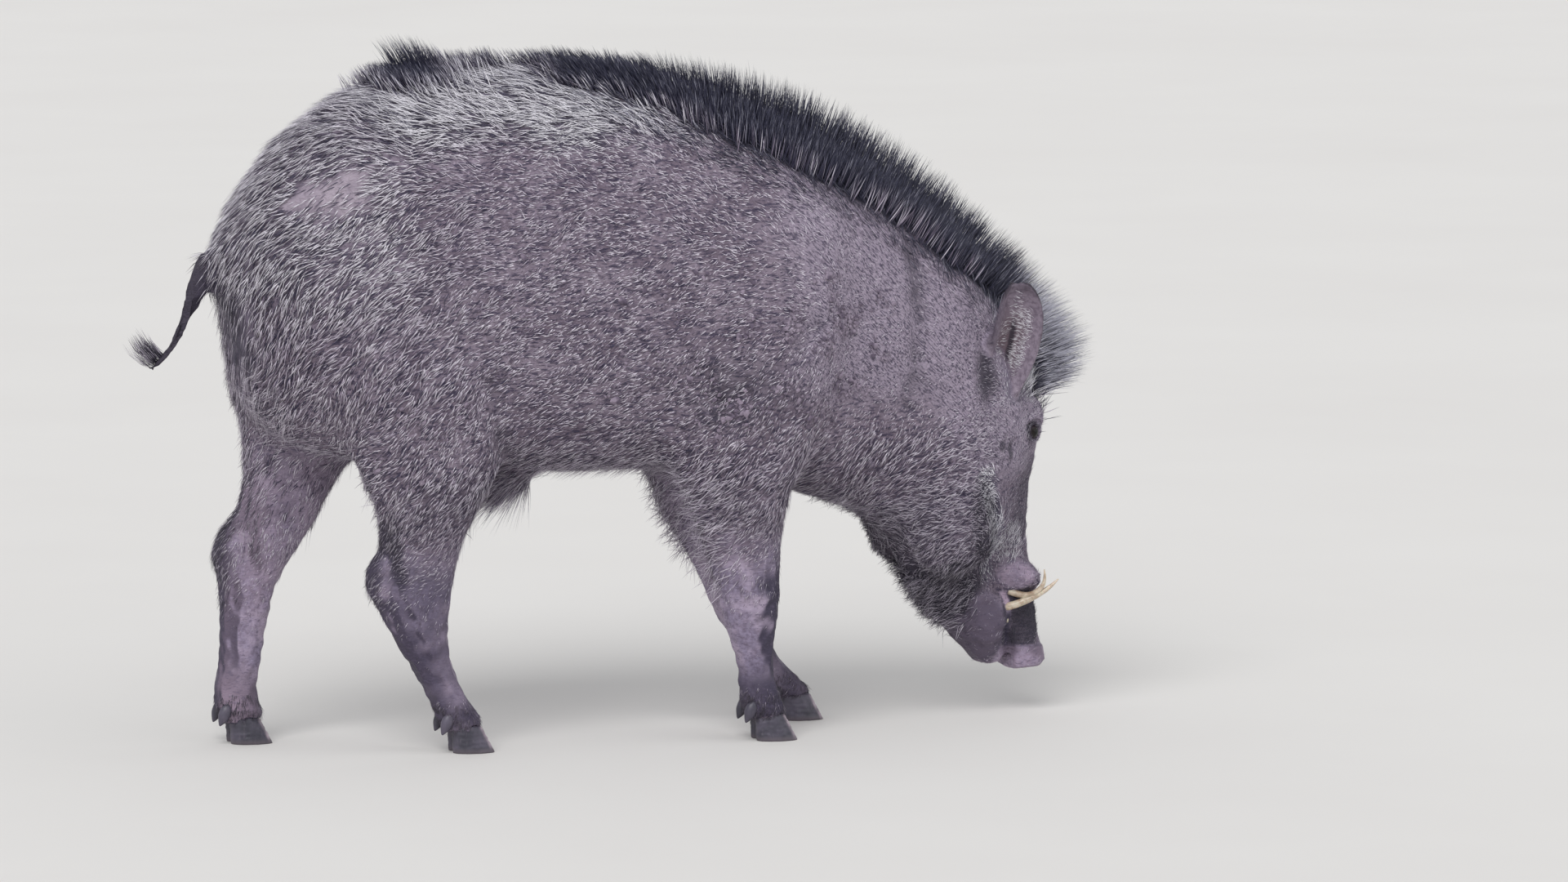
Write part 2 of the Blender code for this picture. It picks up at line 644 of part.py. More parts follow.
def mane(finish):
    """The standing crest of long hair from the back to the forehead, out to its tips."""
    bm = bmesh.new()
    loft(bm, [
        # tip x, tip z, base x, base z, y, half width
        (-0.075, 0.917, -0.070, 0.880, 0, 0.020),
        (0.045, 0.922, 0.030, 0.865, 0, 0.034),
        (0.160, 0.899, 0.120, 0.830, 0, 0.038),
        (0.279, 0.851, 0.225, 0.780, 0, 0.040),
        (0.400, 0.782, 0.335, 0.712, 0, 0.040),
        (0.526, 0.684, 0.445, 0.625, 0, 0.040),
        (0.6275, 0.588, 0.535, 0.545, 0, 0.042),
        (0.676, 0.520, 0.570, 0.490, 0, 0.044),
        (0.686, 0.470, 0.580, 0.455, 0, 0.042),
        (0.672, 0.438, 0.582, 0.432, 0, 0.034),
    ], narrow_top=0.35, points=12, steps=2)
    bend_neck(bm)
    return new_object("mane", bm, finish)


def tuft(name, rows, finish, points=10):
    """A lock of long hair as one tapering solid."""
    bm = bmesh.new()
    tube(bm, densified(rows, 2), points)
    return new_object(name, bm, finish)


def centre_on_floor(objects):
    """Moves all so that the origin is under the middle of the model's box."""
    low = [min(v.co[axis] for o in objects for v in o.data.vertices) for axis in range(3)]
    high = [max(v.co[axis] for o in objects for v in o.data.vertices) for axis in range(3)]
    shift = Vector((-(low[0] + high[0]) / 2, -(low[1] + high[1]) / 2, -low[2]))
    for obj in objects:
        obj.data.transform(Matrix.Translation(shift))


def main():
    clear_scene()
    coat = material("coat", COAT_COLOUR, 0.8)
    skin = material("skin", SKIN_COLOUR, 0.7)
    long_hair = material("long_hair", MANE_COLOUR, 0.7)
    horn = material("horn", HORN_COLOUR, 0.45)
    ivory = material("ivory", IVORY_COLOUR, 0.35)
    wet_eye = material("wet_eye", EYE_COLOUR, 0.08)

    body = flesh()
    crest = mane(long_hair)
    rump_tuft = tuft("rump_tuft", RUMP_TUFT, long_hair)
    clear_of(crest, [body], 4 * GAP)
    clear_of(rump_tuft, [body], 4 * GAP)
    ears = [ear("ear_right", -1, skin), ear("ear_left", 1, skin)]
    eyes = [eye("eye_right", -1, body, wet_eye), eye("eye_left", 1, body, wet_eye)]
    tusks = []
    for label, side in (("right", -1), ("left", 1)):
        tusks.append(tusk(f"lower_tusk_{label}", side, LOWER_TUSK, 0.0085, ivory))
        tusks.append(tusk(f"upper_tusk_{label}", side, UPPER_TUSK, 0.0080, ivory))
    for part in ears:
        clear_of(part, [body, crest], 2 * GAP)
    pieces = part_flesh(body)
    for part in eyes:
        clear_of(pieces["head"], [part])
    for part in tusks:
        clear_of(part, [pieces["head"], pieces["lower_jaw"]], 2 * GAP)
    hooves = feet(horn)
    for leg, toes in hooves.items():
        for toe in toes:
            clear_of(pieces[leg + "_lower"], [toe])
    clear_of(tusks[1], [tusks[0]])
    clear_of(tusks[3], [tusks[2]])
    for name, piece in pieces.items():
        piece.data.materials.clear()
        bare = name in ("snout_disc", "tail") or name.endswith("_lower")
        piece.data.materials.append(skin if bare else coat)
    everything = [obj for obj in bpy.data.objects if obj.type == "MESH"]
    centre_on_floor(everything)


main()
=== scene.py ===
import math

import bpy
import numpy as np
from bpy.props import FloatProperty, FloatVectorProperty, IntProperty, PointerProperty
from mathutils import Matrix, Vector
from mathutils.bvhtree import BVHTree


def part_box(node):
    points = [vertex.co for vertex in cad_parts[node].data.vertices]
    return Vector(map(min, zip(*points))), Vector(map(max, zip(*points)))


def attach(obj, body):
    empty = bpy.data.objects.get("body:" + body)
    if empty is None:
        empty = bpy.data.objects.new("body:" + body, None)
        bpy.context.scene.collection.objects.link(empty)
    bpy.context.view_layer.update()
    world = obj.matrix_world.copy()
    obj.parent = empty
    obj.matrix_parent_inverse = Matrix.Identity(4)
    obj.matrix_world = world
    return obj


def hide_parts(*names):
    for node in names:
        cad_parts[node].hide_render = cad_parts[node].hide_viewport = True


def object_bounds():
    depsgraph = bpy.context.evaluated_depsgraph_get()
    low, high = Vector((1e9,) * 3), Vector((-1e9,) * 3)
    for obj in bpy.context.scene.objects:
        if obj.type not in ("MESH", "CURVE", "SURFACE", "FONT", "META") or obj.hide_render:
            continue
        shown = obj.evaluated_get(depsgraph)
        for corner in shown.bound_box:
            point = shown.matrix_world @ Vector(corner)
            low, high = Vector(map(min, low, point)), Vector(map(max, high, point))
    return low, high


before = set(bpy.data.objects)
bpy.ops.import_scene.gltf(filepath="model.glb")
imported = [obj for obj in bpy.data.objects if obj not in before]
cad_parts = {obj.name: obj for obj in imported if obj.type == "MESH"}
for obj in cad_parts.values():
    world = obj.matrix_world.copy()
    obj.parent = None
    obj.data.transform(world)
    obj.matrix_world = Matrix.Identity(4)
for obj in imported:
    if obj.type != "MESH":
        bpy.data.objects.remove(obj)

bl_info = {
    "name": "Wild boar",
    "version": (1, 0, 0),
    "blender": (4, 5, 0),
    "location": "3D View > Sidebar > Boar",
    "description": "The skin, coat, eyes, tusks and hooves of a life-size standing wild boar",
    "category": "Object",
}

CAD_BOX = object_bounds()
LEGS = ("fore_leg_left", "fore_leg_right", "hind_leg_left", "hind_leg_right")
FLESH = (["trunk", "neck", "head", "lower_jaw", "snout_disc", "tail", "ear_left", "ear_right"]
         + [f"{leg}_{length}" for leg in LEGS for length in ("upper", "lower")])

# The part is drawn with its head straight ahead and its middle plane at y = 0. These take a place in the
# frame back to that drawing, where left and right mirror each other.
DRAWN_ORIGIN = np.array((-0.0157, -0.0125, 0.0))
TURN = math.radians(14)
TURN_START = 0.10
TURN_END = 0.46
TURN_RADIUS = (TURN_END - TURN_START) / TURN


def linear(hex_colour):
    """An sRGB colour such as "6e6274" as linear red, green, blue and 1."""
    parts = [int(hex_colour[i:i + 2], 16) / 255 for i in (0, 2, 4)]
    return [p / 12.92 if p <= 0.04045 else ((p + 0.055) / 1.055) ** 2.4 for p in parts] + [1.0]


def colour_property(name, hex_colour, description):
    return FloatVectorProperty(name=name, description=description, subtype="COLOR", size=4, min=0, max=1,
                               default=linear(hex_colour))


# ---------------------------------------------------------------- what a user would change
class BoarSkinSettings(bpy.types.PropertyGroup):
    grain: FloatProperty(name="Grain", description="Size of the fused skin's faces", default=0.0033,
                         unit="LENGTH")
    thinning: FloatProperty(name="Thinning", description="Share of the trunk's faces that is kept",
                            default=0.11, min=0.05, max=1)
    coat_depth: FloatProperty(name="Coat depth", description="How far the trunk's skin lies under the tips",
                              default=0.0060, unit="LENGTH")
    mud: colour_property("Mud", "867a88", "Dried mud on the flanks")
    # The dark mud colour is dark mud and skin, and also painted shade in the folds, hollows and under the
    # belly
    dark_mud_and_shade: colour_property("Dark mud", "3a3642", "Damp mud and skin in the hollows")
    pale_dust: colour_property("Pale dust", "b4a8b3", "Dust where the mud is scraped and dry")
    crest: colour_property("Crest skin", "20202e", "Skin under the standing mane")
    bare: colour_property("Bare skin", "8a8098", "Hairless skin on the lips, ears and feet")
    flush: colour_property("Flush", "b8a2b5", "Blood showing through the thinnest skin")


class BoarCoatSettings(bpy.types.PropertyGroup):
    seed: IntProperty(name="Seed", description="Starts the random placing of the hair", default=11)
    body_bristles: IntProperty(name="Body bristles", description="Bristles on trunk, neck and upper legs",
                               default=126000)
    face_bristles: IntProperty(name="Face bristles", description="Short hairs on the head", default=40000)
    leg_bristles: IntProperty(name="Leg bristles", description="Short hairs on the lower legs",
                              default=24000)
    mane_hairs: IntProperty(name="Mane hairs", description="Long hairs of the standing crest", default=16000)
    mud_crumbs: IntProperty(name="Mud crumbs", description="Lumps of dried mud caught in the coat",
                            default=2400)
    body_length: FloatProperty(name="Body bristle length", description="Length of a bristle on the flank",
                               default=0.0130, unit="LENGTH")
    root: colour_property("Bristle root", "363246", "Dark, muddy foot of a bristle")
    tip: colour_property("Bristle tip", "e4dde8", "Pale, split tip of a bristle")
    muddy: colour_property("Muddy bristle", "8c7f92", "A bristle coated with dust")
    grizzle: colour_property("Grizzle", "f4f1f8", "Whitish hair along the back")
    black: colour_property("Mane black", "1f1f33", "Long hair of the mane")
    frost: colour_property("Mane tip", "d2d0df", "Worn tips of the mane")


class BoarStageSettings(bpy.types.PropertyGroup):
    azimuth: FloatProperty(name="Azimuth", description="How far round the camera stands",
                           default=math.radians(-16), subtype="ANGLE")
    elevation: FloatProperty(name="Elevation", description="How far above the floor's level it looks from",
                             default=math.radians(7), subtype="ANGLE")
    distance: FloatProperty(name="Distance", description="From the boar to the camera", default=14,
                            unit="LENGTH")
    width: FloatProperty(name="View width", description="What the picture takes in at the boar",
                         default=2.11, unit="LENGTH")


# ---------------------------------------------------------------- small tools
def ease(value, low, high):
    """0 below low, 1 above high, and a smooth rise between them. low may be the larger."""
    t = np.clip((value - low) / (high - low), 0, 1)
    return t * t * (3 - 2 * t)


def drift(points, size, seed):
    """Smooth random values of about -1 to 1, with features about size across."""
    waves = 9
    rng = np.random.default_rng(seed)
    ways = rng.normal(size=(waves, 3))
    ways *= (2 * math.pi / size) * rng.uniform(0.6, 1.5, (waves, 1)) / np.linalg.norm(ways, axis=1)[:, None]
    phases = rng.uniform(0, 2 * math.pi, waves)
    return np.sin(points @ ways.T + phases).sum(axis=1) / math.sqrt(waves)


def unit(vectors):
    """Each vector at a length of 1."""
    return vectors / np.maximum(np.linalg.norm(vectors, axis=1, keepdims=True), 1e-9)


def drawn(points):
    """Places in the frame as the part draws them."""
    x, y, z = (points - DRAWN_ORIGIN).T
    ahead = x - TURN_START
    inward = TURN_RADIUS - y
    angle = np.arctan2(ahead, inward)
    past_x = x - TURN_START - TURN_RADIUS * math.sin(TURN)
    past_y = y - TURN_RADIUS * (1 - math.cos(TURN))
    before, past = angle < 0, angle > TURN
    straight_x = np.where(before, x, TURN_START + angle * TURN_RADIUS)
    straight_y = np.where(before, y, TURN_RADIUS - np.hypot(ahead, inward))
    straight_x = np.where(past, TURN_END + past_x * math.cos(TURN) + past_y * math.sin(TURN), straight_x)
    straight_y = np.where(past, past_y * math.cos(TURN) - past_x * math.sin(TURN), straight_y)
    return np.column_stack((straight_x, straight_y, z))


def turned(directions, drawn_x):
    """Directions of the drawing, turned as the neck turns at each drawn x."""
    angle = np.clip((drawn_x - TURN_START) / (TURN_END - TURN_START), 0, 1) * TURN
    x, y, z = directions.T
    return np.column_stack((x * np.cos(angle) - y * np.sin(angle), x * np.sin(angle) + y * np.cos(angle), z))


def distance_to_line(points, line):
    """How far each 2-D point is from a line through a few points."""
    best = np.full(len(points), np.inf)
    for start, end in zip(line[:-1], line[1:]):
        start, along = np.array(start), np.subtract(end, start)
        t = np.clip((points - start) @ along / (along @ along), 0, 1)
        best = np.minimum(best, np.linalg.norm(points - start - t[:, None] * along, axis=1))
    return best


def rows_of(items, field, width, kind=np.float32):
    """One field of every item of a Blender collection, as rows of width numbers."""
    values = np.empty(len(items) * width, kind)
    items.foreach_get(field, values)
    return values.reshape(-1, width)


def vertices_of(mesh):
    return rows_of(mesh.vertices, "co", 3).astype(float)


def put_vertices(mesh, points):
    mesh.vertices.foreach_set("co", points.astype(np.float32).ravel())
    mesh.update()


def vertex_normals(mesh):
    return rows_of(mesh.vertex_normals, "vector", 3).astype(float)


def face_centres(mesh):
    return rows_of(mesh.polygons, "center", 3).astype(float)


def surface_of(*nodes):
    """What rays and nearest-point searches meet: the surfaces of some CAD nodes."""
    points, faces = [], []
    for node in nodes:
        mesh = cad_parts[node].data
        start = len(points)
        points += [vertex.co for vertex in mesh.vertices]
        faces += [[start + i for i in polygon.vertices] for polygon in mesh.polygons]
    return BVHTree.FromPolygons(points, faces)


def nearness(points, nodes, reach):
    """1 on the surface of some CAD nodes, falling to 0 at reach from it."""
    low = np.min([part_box(node)[0] for node in nodes], axis=0) - reach
    high = np.max([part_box(node)[1] for node in nodes], axis=0) + reach
    found = np.zeros(len(points))
    tree = surface_of(*nodes)
    for i in np.flatnonzero(((points > low) & (points < high)).all(axis=1)):
        gap = tree.find_nearest(points[i], reach)[3]
        found[i] = 0 if gap is None else 1 - gap / reach
    return found


def only(obj):
    """Selects obj alone and makes it the active object."""
    if bpy.context.object and bpy.context.object.mode != "OBJECT":
        bpy.ops.object.mode_set(mode="OBJECT")
    bpy.ops.object.select_all(action="DESELECT")
    bpy.context.view_layer.objects.active = obj
    obj.select_set(True)


def in_edit_mode(obj, *steps):
    """Runs edit-mode steps on obj, with all of it selected at the start."""
    only(obj)
    bpy.ops.object.mode_set(mode="EDIT")
    bpy.ops.mesh.select_all(action="SELECT")
    for step in steps:
        step()
    bpy.ops.object.mode_set(mode="OBJECT")


def apply(obj, kind, **settings):
    """Adds a modifier with its settings and applies it."""
    only(obj)
    made = obj.modifiers.new(kind.title(), kind)
    for name, value in settings.items():
        setattr(made, name, value)
    bpy.ops.object.modifier_apply(modifier=made.name)


def select_faces(obj, chosen):
    """Selects the faces of obj that chosen marks, for the next edit-mode step."""
    only(obj)
    bpy.ops.object.mode_set(mode="EDIT")
    bpy.ops.mesh.select_mode(type="FACE")
    bpy.ops.mesh.select_all(action="DESELECT")
    bpy.ops.object.mode_set(mode="OBJECT")
    obj.data.polygons.foreach_set("select", chosen)
    bpy.ops.object.mode_set(mode="EDIT")


def copy_of_nodes(name, nodes, swell):
    """One object from merged copies of CAD nodes, each a little swollen so that neighbours overlap."""
    bpy.ops.object.select_all(action="DESELECT")
    for node in nodes:
        made = bpy.data.objects.new(name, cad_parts[node].data.copy())
        bpy.context.scene.collection.objects.link(made)
        made.data.materials.clear()
        made.select_set(True)
    bpy.context.view_layer.objects.active = made
    bpy.ops.object.join()
    made = bpy.context.object
    made.name = name
    made.data.name = name
    in_edit_mode(made, lambda: bpy.ops.mesh.remove_doubles(threshold=1e-5),
                 lambda: bpy.ops.transform.shrink_fatten(value=swell))
    return made


def add_shape(name, operator, **settings):
    """Adds one of Blender's own shapes under a name, with nothing else selected."""
    bpy.ops.object.select_all(action="DESELECT")
    operator(**settings)
    made = bpy.context.object
    made.name = name
    return made


def weigh(obj, name, weights):
    """Gives obj a vertex group from an array of weights, in a few levels."""
    levels = 20
    group = obj.vertex_groups.new(name=name)
    level = np.round(weights * levels).astype(int)
    for step in range(1, levels + 1):
        group.add(np.flatnonzero(level == step).tolist(), step / levels, "REPLACE")


def point_colours(mesh, name, values):
    """Stores three numbers for each vertex, which materials read by name."""
    layer = mesh.attributes.new(name, "FLOAT_COLOR", "POINT")
    colours = np.column_stack((values, np.ones(len(values))))
    layer.data.foreach_set("color", colours.astype(np.float32).ravel())


def add_node(tree, kind, sockets=None, **settings):
    """Adds a node. sockets gives its inputs a value, or links them where the value is another's output."""
    made = tree.nodes.new(kind)
    for name, value in settings.items():
        setattr(made, name, value)
    for name, value in (sockets or {}).items():
        if isinstance(value, bpy.types.NodeSocket):
            tree.links.new(value, made.inputs[name])
        else:
            made.inputs[name].default_value = value
    return made


def new_material(name, roughness, ior=1.5, **fixed):
    """A Principled material: its tree, its shader and where patterns read their place."""
    made = bpy.data.materials.new(name)
    made.use_nodes = True
    tree = made.node_tree
    shader = tree.nodes["Principled BSDF"]
    shader.inputs["Roughness"].default_value = roughness
    shader.inputs["IOR"].default_value = ior
    for socket, value in fixed.items():
        shader.inputs[socket.replace("_", " ")].default_value = value
    place = add_node(tree, "ShaderNodeTexCoord").outputs["Object"]
    return made, tree, shader, place


def colour_mix(tree, factor, first, second):
    return add_node(tree, "ShaderNodeMix", {0: factor, 6: first, 7: second}, data_type="RGBA").outputs[2]


def between(tree, value, low, high, to_low=0.0, to_high=1.0):
    """value, mapped smoothly from low..high to to_low..to_high."""
    made = add_node(tree, "ShaderNodeMapRange", {"Value": value, "From Min": low, "From Max": high,
                                                 "To Min": to_low, "To Max": to_high},
                    interpolation_type="SMOOTHSTEP")
    return made.outputs["Result"]


def layered(tree, colour, *layers):
    """colour with others laid over it in turn. A layer is its colour, a value, the low and the high between
    which the value brings it in, and the share that it covers in the end."""
    for over, value, low, high, share in layers:
        colour = colour_mix(tree, between(tree, value, low, high, 0.0, share), colour, over)
    return colour


def attribute(tree, name):
    """The three numbers that point_colours stored under a name."""
    made = add_node(tree, "ShaderNodeAttribute", attribute_name=name)
    return add_node(tree, "ShaderNodeSeparateColor", {"Color": made.outputs["Color"]}).outputs


def noise(tree, place, size_mm, scale=(1, 1, 1)):
    """Noise whose grains are size_mm across, and longer along the axes where scale is small."""
    mapped = add_node(tree, "ShaderNodeMapping", {"Vector": place, "Scale": scale})
    return add_node(tree, "ShaderNodeTexNoise", {"Vector": mapped.outputs["Vector"], "Scale": 1000 / size_mm,
                                                 "Detail": 3.0, "Roughness": 0.6}).outputs["Fac"]


def sum_of(tree, first, second, share):
    """first plus a share of second."""
    return add_node(tree, "ShaderNodeMath", {0: second, 1: share, 2: first},
                    operation="MULTIPLY_ADD").outputs["Value"]


def give_relief(tree, shader, height, strength, distance):
    """Bumps a material's surface by a height pattern, whose full step is distance."""
    bump = add_node(tree, "ShaderNodeBump", {"Height": height, "Strength": strength, "Distance": distance})
    tree.links.new(bump.outputs["Normal"], shader.inputs["Normal"])


# ---------------------------------------------------------------- markings, shared by skin and coat
# Lines of the side view, through (x, z) places of the drawing. CREST_FOOT is the mane's lower edge.
CREST_FOOT = np.array(((-0.140, 0.915), (-0.090, 0.884), (0.034, 0.848), (0.135, 0.803), (0.262, 0.742),
                       (0.372, 0.675), (0.480, 0.594), (0.545, 0.540), (0.572, 0.480), (0.580, 0.440)))
MUZZLE_STREAK = ((0.484, 0.338), (0.4995, 0.259), (0.518, 0.195))
GAPE = ((0.546, 0.166), (0.556, 0.120), (0.560, 0.076))
CHEEK_FOLD = ((0.379, 0.669), (0.377, 0.600), (0.374, 0.523), (0.360, 0.450))
SHOULDER_FOLD = ((0.233, 0.587), (0.190, 0.530), (0.140, 0.485), (0.086, 0.456))
FLANK_FOLD = ((-0.215, 0.500), (-0.205, 0.450), (-0.180, 0.395))
EYE_MIDDLE = (0.568, 0.393)     # x and z of the eyes
EAR_ROOT = (0.505, 0.446)       # x and z of an ear's foot
EAR_LENGTH = 0.156
EAR_HALF_WIDTH = 0.033


def spot(d, x, z, wide, tall, edge=0.5):
    """1 inside an oval of the side view, falling to 0 outside it."""
    return ease(np.hypot((d[:, 0] - x) / wide, (d[:, 2] - z) / tall), 1.0, edge)


def near_line(d, line, reach, edge=0.4):
    """1 along a line of the side view, falling to 0 at reach from it."""
    return ease(distance_to_line(d[:, [0, 2]], line), reach, reach * edge)


def above_crest_foot(d):
    """How far a place lies above the lower edge of the mane."""
    return d[:, 2] - np.interp(d[:, 0], CREST_FOOT[:, 0], CREST_FOOT[:, 1])


def on_ear(d):
    """Where a place lies on an ear: from -1 at its rear rim to 1 at its front one, and from 0 at its foot
    to 1 at its tip."""
    up = np.clip((d[:, 2] - EAR_ROOT[1]) / EAR_LENGTH, 0, 1)
    round_top = np.sqrt(np.maximum(1 - (np.maximum(up - 0.55, 0) / 0.45) ** 2, 0.04))
    half = EAR_HALF_WIDTH * np.minimum(0.85 + 0.5 * up, 1) * round_top
    return (d[:, 0] - EAR_ROOT[0] - 0.010 * up - 0.010 * np.sin(3 * up)) / half, up


def markings(d, normals):
    """What skin and coat look like at places of the drawing, as two sets of three shares.

    The first are crest, grizzled and bare. The second are dark, flushed with blood, and dried mud.
    """
    x, y, z = d.T
    wide, fine = drift(d, 0.16, 3), drift(d, 0.045, 4)
    forward = ease(normals[:, 0] + 0.16 * fine, -0.15, 0.85)
    backward = ease(-normals[:, 0] + 0.12 * fine, -0.05, 0.60)
    leg = ease(x - 0.10 * ease(z, 0.16, 0.10), 0.31, 0.27)       # 0 on the head and throat
    inner_side = ease(-normals[:, 1] * np.sign(y), 0.1, 0.6) * ease(z, 0.430, 0.350) * leg
    outer_side = ease(normals[:, 1] * np.sign(y), 0.0, 0.6)
    lower_leg = ease(z + 0.012 * fine, 0.300, 0.210) * leg
    crest = ease(above_crest_foot(d) + 0.006 * fine, -0.008, 0.012)
    rump_tuft = ease(np.hypot(x + 0.285, z - 0.925) + 0.006 * fine, 0.085, 0.045)
    crest = np.maximum(crest, rump_tuft * ease(z, 0.86, 0.89))
    stripe = ease(np.abs(y) + 0.006 * fine, 0.034, 0.012) * ease(x, -0.42, -0.36) * ease(z, 0.87, 0.90)
    crest = np.maximum(crest, 0.85 * stripe)

    back = ease(z + 0.014 * wide + 0.010 * fine, 0.745, 0.880) * ease(x, -0.46, -0.30) * ease(x, 0.26, 0.05)
    forehead = ease(x, 0.485, 0.525) * ease(z, 0.610, 0.530) * ease(z, 0.420, 0.450)
    streak = near_line(d, MUZZLE_STREAK, 0.020) * ease(np.abs(y), 0.012, 0.030)
    over_lip = spot(d, 0.545, 0.235, 0.035, 0.045)
    rump = 0.48 * ease(x, -0.20, -0.36) * ease(z, 0.50, 0.66)
    grizzled = np.maximum.reduce((0.9 * back, forehead, 0.85 * streak, 0.6 * over_lip, rump))

    lip = spot(d, 0.560, 0.194, 0.036, 0.024)
    chin = spot(d, 0.505, 0.120, 0.050, 0.062, edge=0.7)
    disc = ease(z, 0.098, 0.090) * ease(x, 0.530, 0.545)
    gape = near_line(d, GAPE, 0.008)
    under_tail = ease(np.hypot((x + 0.552) / 0.042, (z - 0.550) / 0.100) + 0.10 * fine, 1.2, 0.6)
    under_tail *= ease(np.abs(y) + 0.010 * fine, 0.105, 0.065)
    ahead, above = x + 0.425, z - 0.750
    scraped_away = np.hypot(ahead * 0.95 + above * 0.31, 2.3 * (above * 0.95 - ahead * 0.31))
    dried = ease(scraped_away + 0.014 * fine + 0.006 * drift(d, 0.02, 5), 0.066, 0.040)
    groin = ease(z, 0.40, 0.33) * ease(np.abs(y), 0.075, 0.045) * ease(x, 0.10, 0.0)
    bare = np.maximum.reduce((lower_leg, 0.8 * inner_side, 0.72 * lip, 0.90 * chin, disc, gape,
                              0.85 * under_tail, 0.5 * groin))

    below_hock = ease(z + 0.010 * fine, 0.345, 0.305) * ease(z, 0.06, 0.12) * leg
    shank_edge = np.where(x > 0.02, 0.80 * lower_leg * forward, below_hock * backward)
    feet = ease(z, 0.150, 0.060) * leg
    hind_foot = ease(z + 0.015 * fine, 0.310, 0.220) * ease(x, -0.05, -0.12) * (0.15 + 0.85 * outer_side)
    # belly is painted shade on the underside of the body
    belly = ease(z, 0.400, 0.350) * ease(z, 0.26, 0.32) * ease(x, 0.30, 0.10)
    jowl = spot(d, 0.452, 0.185, 0.085, 0.085, edge=0.35)
    # behind_ear is painted shade in the groove behind the ear
    behind_ear = spot(d, 0.480, 0.478, 0.038, 0.075, edge=0.0)
    shoulder = 0.40 * spot(d, 0.135, 0.480, 0.140, 0.100, edge=0.2)
    cheek = 0.85 * spot(d, 0.480, 0.270, 0.036, 0.100, edge=0.3)
    # cheek_end is partly the dark brown ground under the whiskers and partly painted shade behind the cheek
    cheek_end = 0.50 * spot(d, 0.410, 0.250, 0.125, 0.105, edge=0.3)
    # crease and stifle are painted shade along the grooves of the cheek, shoulder and flank folds
    crease = 0.45 * near_line(d, CHEEK_FOLD, 0.026, edge=0.0)
    crease += 0.5 * near_line(d, SHOULDER_FOLD, 0.026, edge=0.1)
    stifle = 0.5 * near_line(d, FLANK_FOLD, 0.030, edge=0.1)
    # gland is painted shadow round the knobs and pits before the eye
    gland = np.maximum(spot(d, 0.520, 0.372, 0.011, 0.024, edge=0.0),
                       0.6 * spot(d, 0.503, 0.381, 0.009, 0.012))
    eyelid = spot(d, EYE_MIDDLE[0], EYE_MIDDLE[1], 0.020, 0.022, edge=0.45)
    # snout_side is partly the snout's dark hair and partly painted shade on that side of the snout
    snout_side = spot(d, 0.572, 0.130, 0.044, 0.050, edge=0.75) * (1 - gape) * (1 - disc)
    muzzle = 0.72 * ease(x - 0.12 * (z - 0.3), 0.535, 0.567) * ease(z + 0.016 * fine, 0.415, 0.300)
    muzzle *= ease(z + 0.010 * fine, 0.195, 0.260)
    # the gape's lower part, in dark below, is painted shade in the open corner of the mouth
    dark = np.maximum.reduce((shank_edge, 0.80 * feet, 0.60 * hind_foot, 0.35 * belly, 0.8 * under_tail,
                              0.95 * jowl, 0.95 * behind_ear, shoulder, crease, stifle, 0.9 * gland,
                              0.90 * eyelid, 0.95 * snout_side, muzzle, cheek, cheek_end,
                              0.85 * gape * ease(z, 0.155, 0.135), disc * (0.28 + 0.22 * fine),
                              chin * (0.55 + 0.35 * ease(z, 0.17, 0.11))))
    dark = np.clip(dark + 0.13 * wide + 0.09 * fine, 0, 1)
    flush = np.maximum.reduce(((0.50 + 0.12 * fine) * lip, 0.24 * chin, 0.8 * gape * ease(z, 0.135, 0.155),
                               0.36 * disc, 0.12 * lower_leg * (1 - forward),
                               0.50 * inner_side * (0.6 + 0.3 * wide)))
    return (np.column_stack((crest, grizzled * (1 - crest * (1 - forehead)), bare)),
            np.column_stack((dark, np.clip(flush, 0, 1), dried)))


